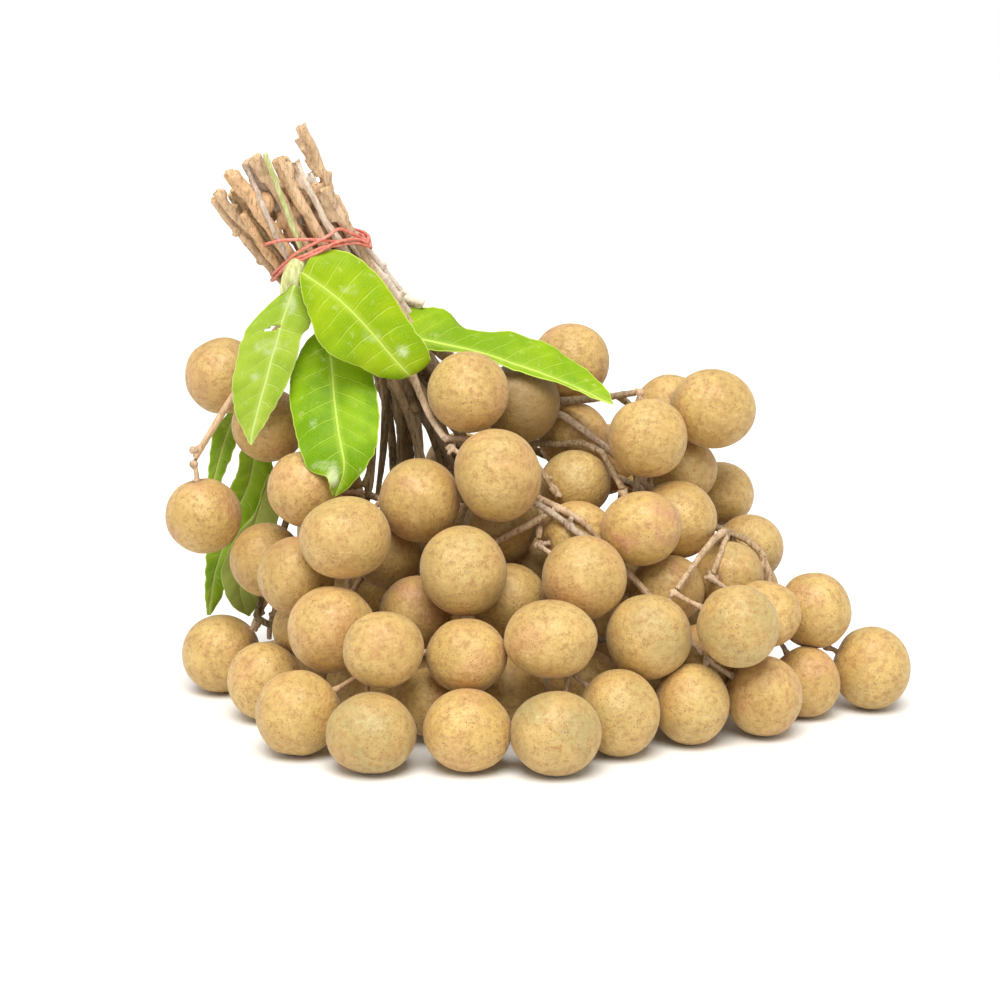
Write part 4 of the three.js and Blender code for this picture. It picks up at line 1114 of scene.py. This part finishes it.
LEAF_LEFT_ROWS = [
    [(295, 284), (294, 284), (296.5, 284), (61.5, 61.5, 61.5)],
    [(292, 292), (281, 294), (300.5, 289), (61.5, 62.5, 62)],
    [(286, 310), (260, 312.5), (308, 308), (61.5, 64, 62.5)],
    [(281, 326), (247, 329), (311, 323), (61.3, 64, 61.5)],
    [(277, 342), (239, 349), (302, 336), (61.2, 63.5, 60.5)],
    [(272, 358), (235, 368), (298, 354), (61, 63, 60)],
    [(267, 378), (232, 388), (290, 378), (60.5, 62.5, 59.5)],
    [(261, 399), (233.5, 405), (279, 400), (60.3, 62, 59.5)],
    [(256, 418), (238, 420), (268, 419), (60.1, 61.5, 59.8)],
    [(252, 434), (244.5, 434), (258.5, 434), (60, 60.5, 59.8)],
    [(250.5, 445.5), (250, 445.5), (251.5, 445.5), (60, 60, 60)],
]
LEAF_LEFT_WORN = ((255, 376, 6, 6, 0.5), (268, 347, 16, 9, 0.4), (290, 305, 9, 12, 0.6))
leaf_piece(1, "leaf_left", LEAF_LEFT, LEAF_LEFT_ROWS,
           cup=0.8, lean=0.4, hole=(273, 328.5, 8.5, 2.2), wear_and_glint=LEAF_LEFT_WORN)

LEAF_LOW_ROWS = [
    [(318, 332), (316, 332), (320, 331), (68.5, 68.5, 68.5)],
    [(324, 340), (306, 342), (345, 337), (68, 68, 68.2)],
    [(330, 355), (298, 356), (362, 352), (67, 66.5, 67)],
    [(332.5, 375), (290.5, 377), (372, 372), (65, 64.5, 64.5)],
    [(334, 395), (289, 398), (377, 394), (61.5, 62, 60.5)],
    [(336, 412), (292.5, 417), (379.5, 416), (58, 59, 56.5)],
    [(338.5, 430), (296, 436), (378, 438), (54, 55.5, 52.5)],
    [(341.5, 447), (301.5, 455), (374, 453), (50.5, 51, 50)],
    [(344, 460), (309, 470), (366, 467), (48.6, 48.5, 48.2)],
    [(343.5, 472), (326, 477), (358, 478), (48, 46.5, 47.8)],
    [(339.5, 484), (329, 485), (347, 489), (48, 46, 47.8)],
    [(334, 496), (332.5, 496), (335.5, 497), (48.3, 48.2, 48.3)],
]
# The first of these is a painted highlight on the bent, glossy tip; the others are pale patches.
LEAF_LOW_WEAR_AND_GLINT = ((333, 478, 9, 20, 0.9), (313, 424, 5, 6, 0.7), (322, 466, 12, 6, 0.4))
leaf_piece(2, "leaf_low", LEAF_LOW, LEAF_LOW_ROWS, cup=0.8, lean=0.35, wear_and_glint=LEAF_LOW_WEAR_AND_GLINT)

LEAF_RIGHT_ROWS = [
    [(396, 334), (395, 333), (396, 335.5), (74.5, 75, 74.5)],
    [(404, 336), (398, 309), (405, 346), (75, 84, 73)],
    [(425.6, 340.5), (428, 307.5), (428, 350), (75, 86, 73)],
    [(448, 345.5), (450, 312), (450, 352), (74.5, 85.5, 73)],
    [(466, 349.3), (466, 329.5), (468, 354.5), (74, 84, 72.5)],
    [(490, 356), (494, 331), (490, 360.5), (73, 82.5, 71)],
    [(512, 364), (517, 333.5), (510, 369), (72.3, 82, 70)],
    [(536, 372), (543, 342), (532, 376), (71, 81, 69)],
    [(560, 381.5), (567, 356), (556, 382.5), (70, 79, 68.5)],
    [(584, 391.5), (590, 373.5), (582, 393), (68.5, 75, 67.5)],
    [(602, 400), (606, 388), (600.5, 401.5), (67.5, 70, 67)],
    [(613, 403.5), (613, 402.5), (613, 404.5), (67, 67, 67)],
]
leaf_piece(3, "leaf_right", LEAF_RIGHT, LEAF_RIGHT_ROWS, cup=0.6, lean=0.9)

LEAF_BACK_TOP_ROWS = [
    [(238, 398), (237, 398), (239, 398), (104, 104, 104)],
    [(236, 410), (229, 411), (243, 411), (104, 104, 104)],
    [(229, 428), (215.5, 428), (240, 432), (103.5, 103, 103.5)],
    [(223, 446), (210, 447), (235, 449), (102, 101.5, 102)],
    [(217.5, 466), (208.5, 467), (227.5, 466), (100, 99.5, 100)],
    [(213, 484), (207, 484), (219.5, 485), (98, 97.5, 98)],
    [(211, 500), (210, 500), (212, 500), (96, 96, 96)],
]
leaf_piece(4, "leaf_back_top", LEAF_BACK, LEAF_BACK_TOP_ROWS, cup=0.6)

LEAF_BACK_LONG_ROWS = [
    [(257, 440), (256, 440), (258, 440), (102, 102, 102)],
    [(255, 452), (241, 450), (270, 455), (102, 101.5, 102)],
    [(252, 470), (238, 470), (273, 474), (102, 101, 102.5)],
    [(247, 488), (232, 484), (269, 494), (102, 100.5, 103)],
    [(238, 508), (221, 500), (256, 517), (101.5, 100, 102.5)],
    [(229, 530), (211, 524), (246, 537), (101, 99.5, 102)],
    [(221, 552), (207, 548), (237, 558), (100, 99, 101)],
    [(214, 576), (205, 574), (228, 580), (99, 98, 100)],
    [(210.5, 598), (205, 598), (219, 602), (97.5, 97, 98.5)],
    [(208.5, 615), (207.5, 615), (210, 615), (96, 96, 96)],
]
leaf_piece(5, "leaf_back_long", LEAF_BACK, LEAF_BACK_LONG_ROWS, cup=0.8)

LEAF_BACK_LOW_ROWS = [
    [(269, 474), (268, 474), (270, 474), (95, 95, 95)],
    [(266, 486), (262, 490), (276, 488), (94.5, 94, 95)],
    [(260, 506), (255, 512), (279, 511), (93, 92.5, 94)],
    [(254, 526), (240, 530), (276, 534), (92, 91, 93)],
    [(248, 548), (228, 551), (270, 556), (91, 89.5, 92.5)],
    [(242, 570), (220.5, 575), (264, 580), (90, 88.5, 91)],
    [(240, 588), (226, 593), (260, 597), (89.5, 88, 90.5)],
    [(243, 603), (232, 606), (256, 608), (89.5, 88.5, 90)],
    [(249, 616), (248, 616.5), (250.5, 616), (90, 90, 90)],
]
leaf_piece(6, "leaf_back_low", LEAF_BACK, LEAF_BACK_LOW_ROWS, cup=0.8, turned=True)

# ---------------------------------------------------------------- rubber band
BAND_RADIUS = 0.54
BAND_OFF = 0.8  # how many of its radii its middle lies off the wood
BAND_REACH = (15.6, 9.6)  # half the width and half the depth of what it goes round, at the tie
BAND_SPREAD = 0.15  # how much more for each millimetre above the tie
BAND_LIFT = 0.4  # how much further out each turn lies than the one before, where it shows
BAND_LIFT_HIDDEN = 0.3  # and where it is hidden
HIDDEN_POINTS = 15  # from the end of one strand to the start of the next
LOOP_POINTS = 520
LOOP_LAP = 200  # within this many points of its ends the loop meets itself
# What shows of its turns, from left to right in the view.
BAND_STRANDS = [
    [(266, 244), (282, 240.5), (308, 239.5), (330, 241), (351, 243), (366, 242)],
    [(274, 273), (286, 262), (299, 251.5), (315, 243), (328, 236), (339, 229), (353, 234), (366, 241),
     (371, 248)],
    [(277, 276), (284, 268), (294, 259.5), (308, 254), (322, 247.5), (337, 245.5), (355, 243), (369, 246)],
    [(281, 272), (292, 264.5), (306, 258), (320, 251.5), (334, 243.5), (349, 239.5), (361, 240), (367, 243)],
]
# Where the first turn comes forward between the sticks at the left: (x, y, back) in the view.
BAND_THROUGH = [(262, 247, 82), (262, 246, 77), (264, 245, 71)]
SIGHT_FROM = 50  # how far back a line of sight to the bundle begins
SIGHT_LENGTH = 45
SLICE = 1.2  # half the height of the slice of wood that the band lies on
SLICE_TURN = 1.4  # radians to each side within which the wood holds it off


def on_bundle(x, y, lift):
    """The first point of a line of sight that lies on the outside of the bundle, or comes nearest to it."""
    start = px(x, y, SIGHT_FROM)
    way = unit(px(x, y, 80) - px(x, y, 60))
    line = start + np.linspace(0, SIGHT_LENGTH, 10 * SIGHT_LENGTH)[:, None] * way
    aside, deep, below = of_bundle(line).T
    wide = 1 + BAND_SPREAD * np.clip(-below, 0, 30) / BAND_REACH[0]
    far = np.hypot(aside / ((BAND_REACH[0] + lift) * wide), deep / ((BAND_REACH[1] + lift) * wide))
    inside = np.flatnonzero(far < 1)
    return line[inside[0] if len(inside) else far.argmin()]


def tight_reach(angle, below):
    """How far from the middle a tight band lies on the wood, at an angle from aside towards deep."""
    place = np.vstack(AT_TIE)
    below = np.clip(below, 2 - TIE_REACH, TIE_REACH - 2)
    near = place[np.abs(place[:, 2] - below) < SLICE][:, :2]
    way = angle + np.linspace(-SLICE_TURN, SLICE_TURN, 57)
    support = (near @ np.stack([np.cos(way), np.sin(way)])).max(0)
    return (support / np.cos(way - angle)).min() + BAND_RADIUS * BAND_OFF


def hidden_arc(start, end, turn):
    """Points round the back, tight on the wood, between two places given aside, deep and below."""
    first = math.atan2(start[1], start[0])
    last = math.atan2(end[1], end[0]) % (2 * math.pi)
    off_start = math.hypot(*start[:2]) - tight_reach(first, start[2])
    off_end = math.hypot(*end[:2]) - tight_reach(last, end[2])
    points = []
    for share in np.linspace(0, 1, HIDDEN_POINTS)[1:-1]:
        angle = first + (last - first) * share
        below = start[2] + (end[2] - start[2]) * share**2
        reach = tight_reach(angle, below)
        reach = reach + off_start * (1 - share) ** 6 + off_end * share**6 + BAND_LIFT_HIDDEN * turn
        points.append(in_bundle(below, reach * math.cos(angle), reach * math.sin(angle)))
    return points


def band_piece():
    """Each strand, then round the back to the start of the next one, as one closed loop."""
    nexts = [on_bundle(*strand[0], 0.5) for strand in BAND_STRANDS[1:]] + [px(*BAND_THROUGH[0])]
    points = []
    for turn, (strand, following) in enumerate(zip(BAND_STRANDS, nexts)):
        points += [on_bundle(x, y, BAND_LIFT * turn) for x, y in strand]
        points += hidden_arc(of_bundle(points[-1]), of_bundle(following), turn)
    points = np.array(points + [px(*p) for p in BAND_THROUGH])
    loop = spline(np.vstack([points[-2:], points, points[:3]]), LOOP_POINTS)
    near = np.linalg.norm(loop - points[0], axis=1)
    tail = LOOP_POINTS - LOOP_LAP
    first, last = near[:LOOP_LAP].argmin(), tail + near[tail:].argmin()
    verts, faces = tube(loop[first:last], BAND_RADIUS, 10, closed=True)
    make_piece("rubber_band_loop", verts, faces, BAND, "band", ["rubber_band"])


band_piece()

# ---------------------------------------------------------------- floor, light and camera
FLOOR_HALF = 4000.0
AMBIENT = 0.65
SENSOR = 36


def floor():
    s = Shader("floor", {"Roughness": 0.9})
    colour = s.mix(s.noise(s.place(), 12, 2), "#efefed", "#eaeae8")
    corners = [(-1, -1, 0), (1, -1, 0), (1, 1, 0), (-1, 1, 0)]
    mesh = new_mesh("floor", np.array(corners) * FLOOR_HALF, [(0, 1, 2, 3)])
    mesh.materials.append(s.finish(colour))
    plane = add_object("floor", mesh)


def facing(way):
    return Vector(way).to_track_quat("-Z", "Y").to_euler()


def lamp(name, way, spread, strength, colour):
    """Soft light that comes along one way, from a patch of sky that is spread degrees wide."""
    light = bpy.data.lights.new(name, "SUN")
    light.angle = math.radians(spread)
    light.energy = strength
    light.color = colour
    add_object(name, light).rotation_euler = facing(way)


def camera():
    data = bpy.data.cameras.new("camera")
    data.sensor_width = SENSOR
    data.lens = VIEW_DISTANCE / SHEET_SCALE / VIEW_PIXELS * SENSOR
    data.clip_start = 0.01
    data.clip_end = 20
    thing = add_object("camera", data)
    thing.location = (EYE - BASE_MIDDLE) * MM
    thing.rotation_euler = facing(SIGHT)
    bpy.context.scene.camera = thing


def world():
    """An even white backdrop, with less light on the bunch than the eye sees behind it."""
    scene = bpy.context.scene
    scene.world = bpy.data.worlds.new("world")
    scene.world.use_nodes = True
    tree = scene.world.node_tree
    background = tree.nodes["Background"]
    background.inputs["Color"].default_value = (1, 1, 1, 1)
    background.inputs["Strength"].default_value = AMBIENT
    backdrop = tree.nodes.new("ShaderNodeBackground")
    backdrop.inputs["Color"].default_value = (1, 1, 1, 1)
    path = tree.nodes.new("ShaderNodeLightPath")
    mix = tree.nodes.new("ShaderNodeMixShader")
    tree.links.new(path.outputs["Is Camera Ray"], mix.inputs[0])
    tree.links.new(background.outputs[0], mix.inputs[1])
    tree.links.new(backdrop.outputs[0], mix.inputs[2])
    tree.links.new(mix.outputs[0], tree.nodes["World Output"].inputs["Surface"])
    scene.view_settings.view_transform = "Standard"
    scene.view_settings.look = "None"


floor()
world()
camera()
lamp("key", (0.03, 0.48, -0.88), 40, 3.4, (1.0, 0.985, 0.955))
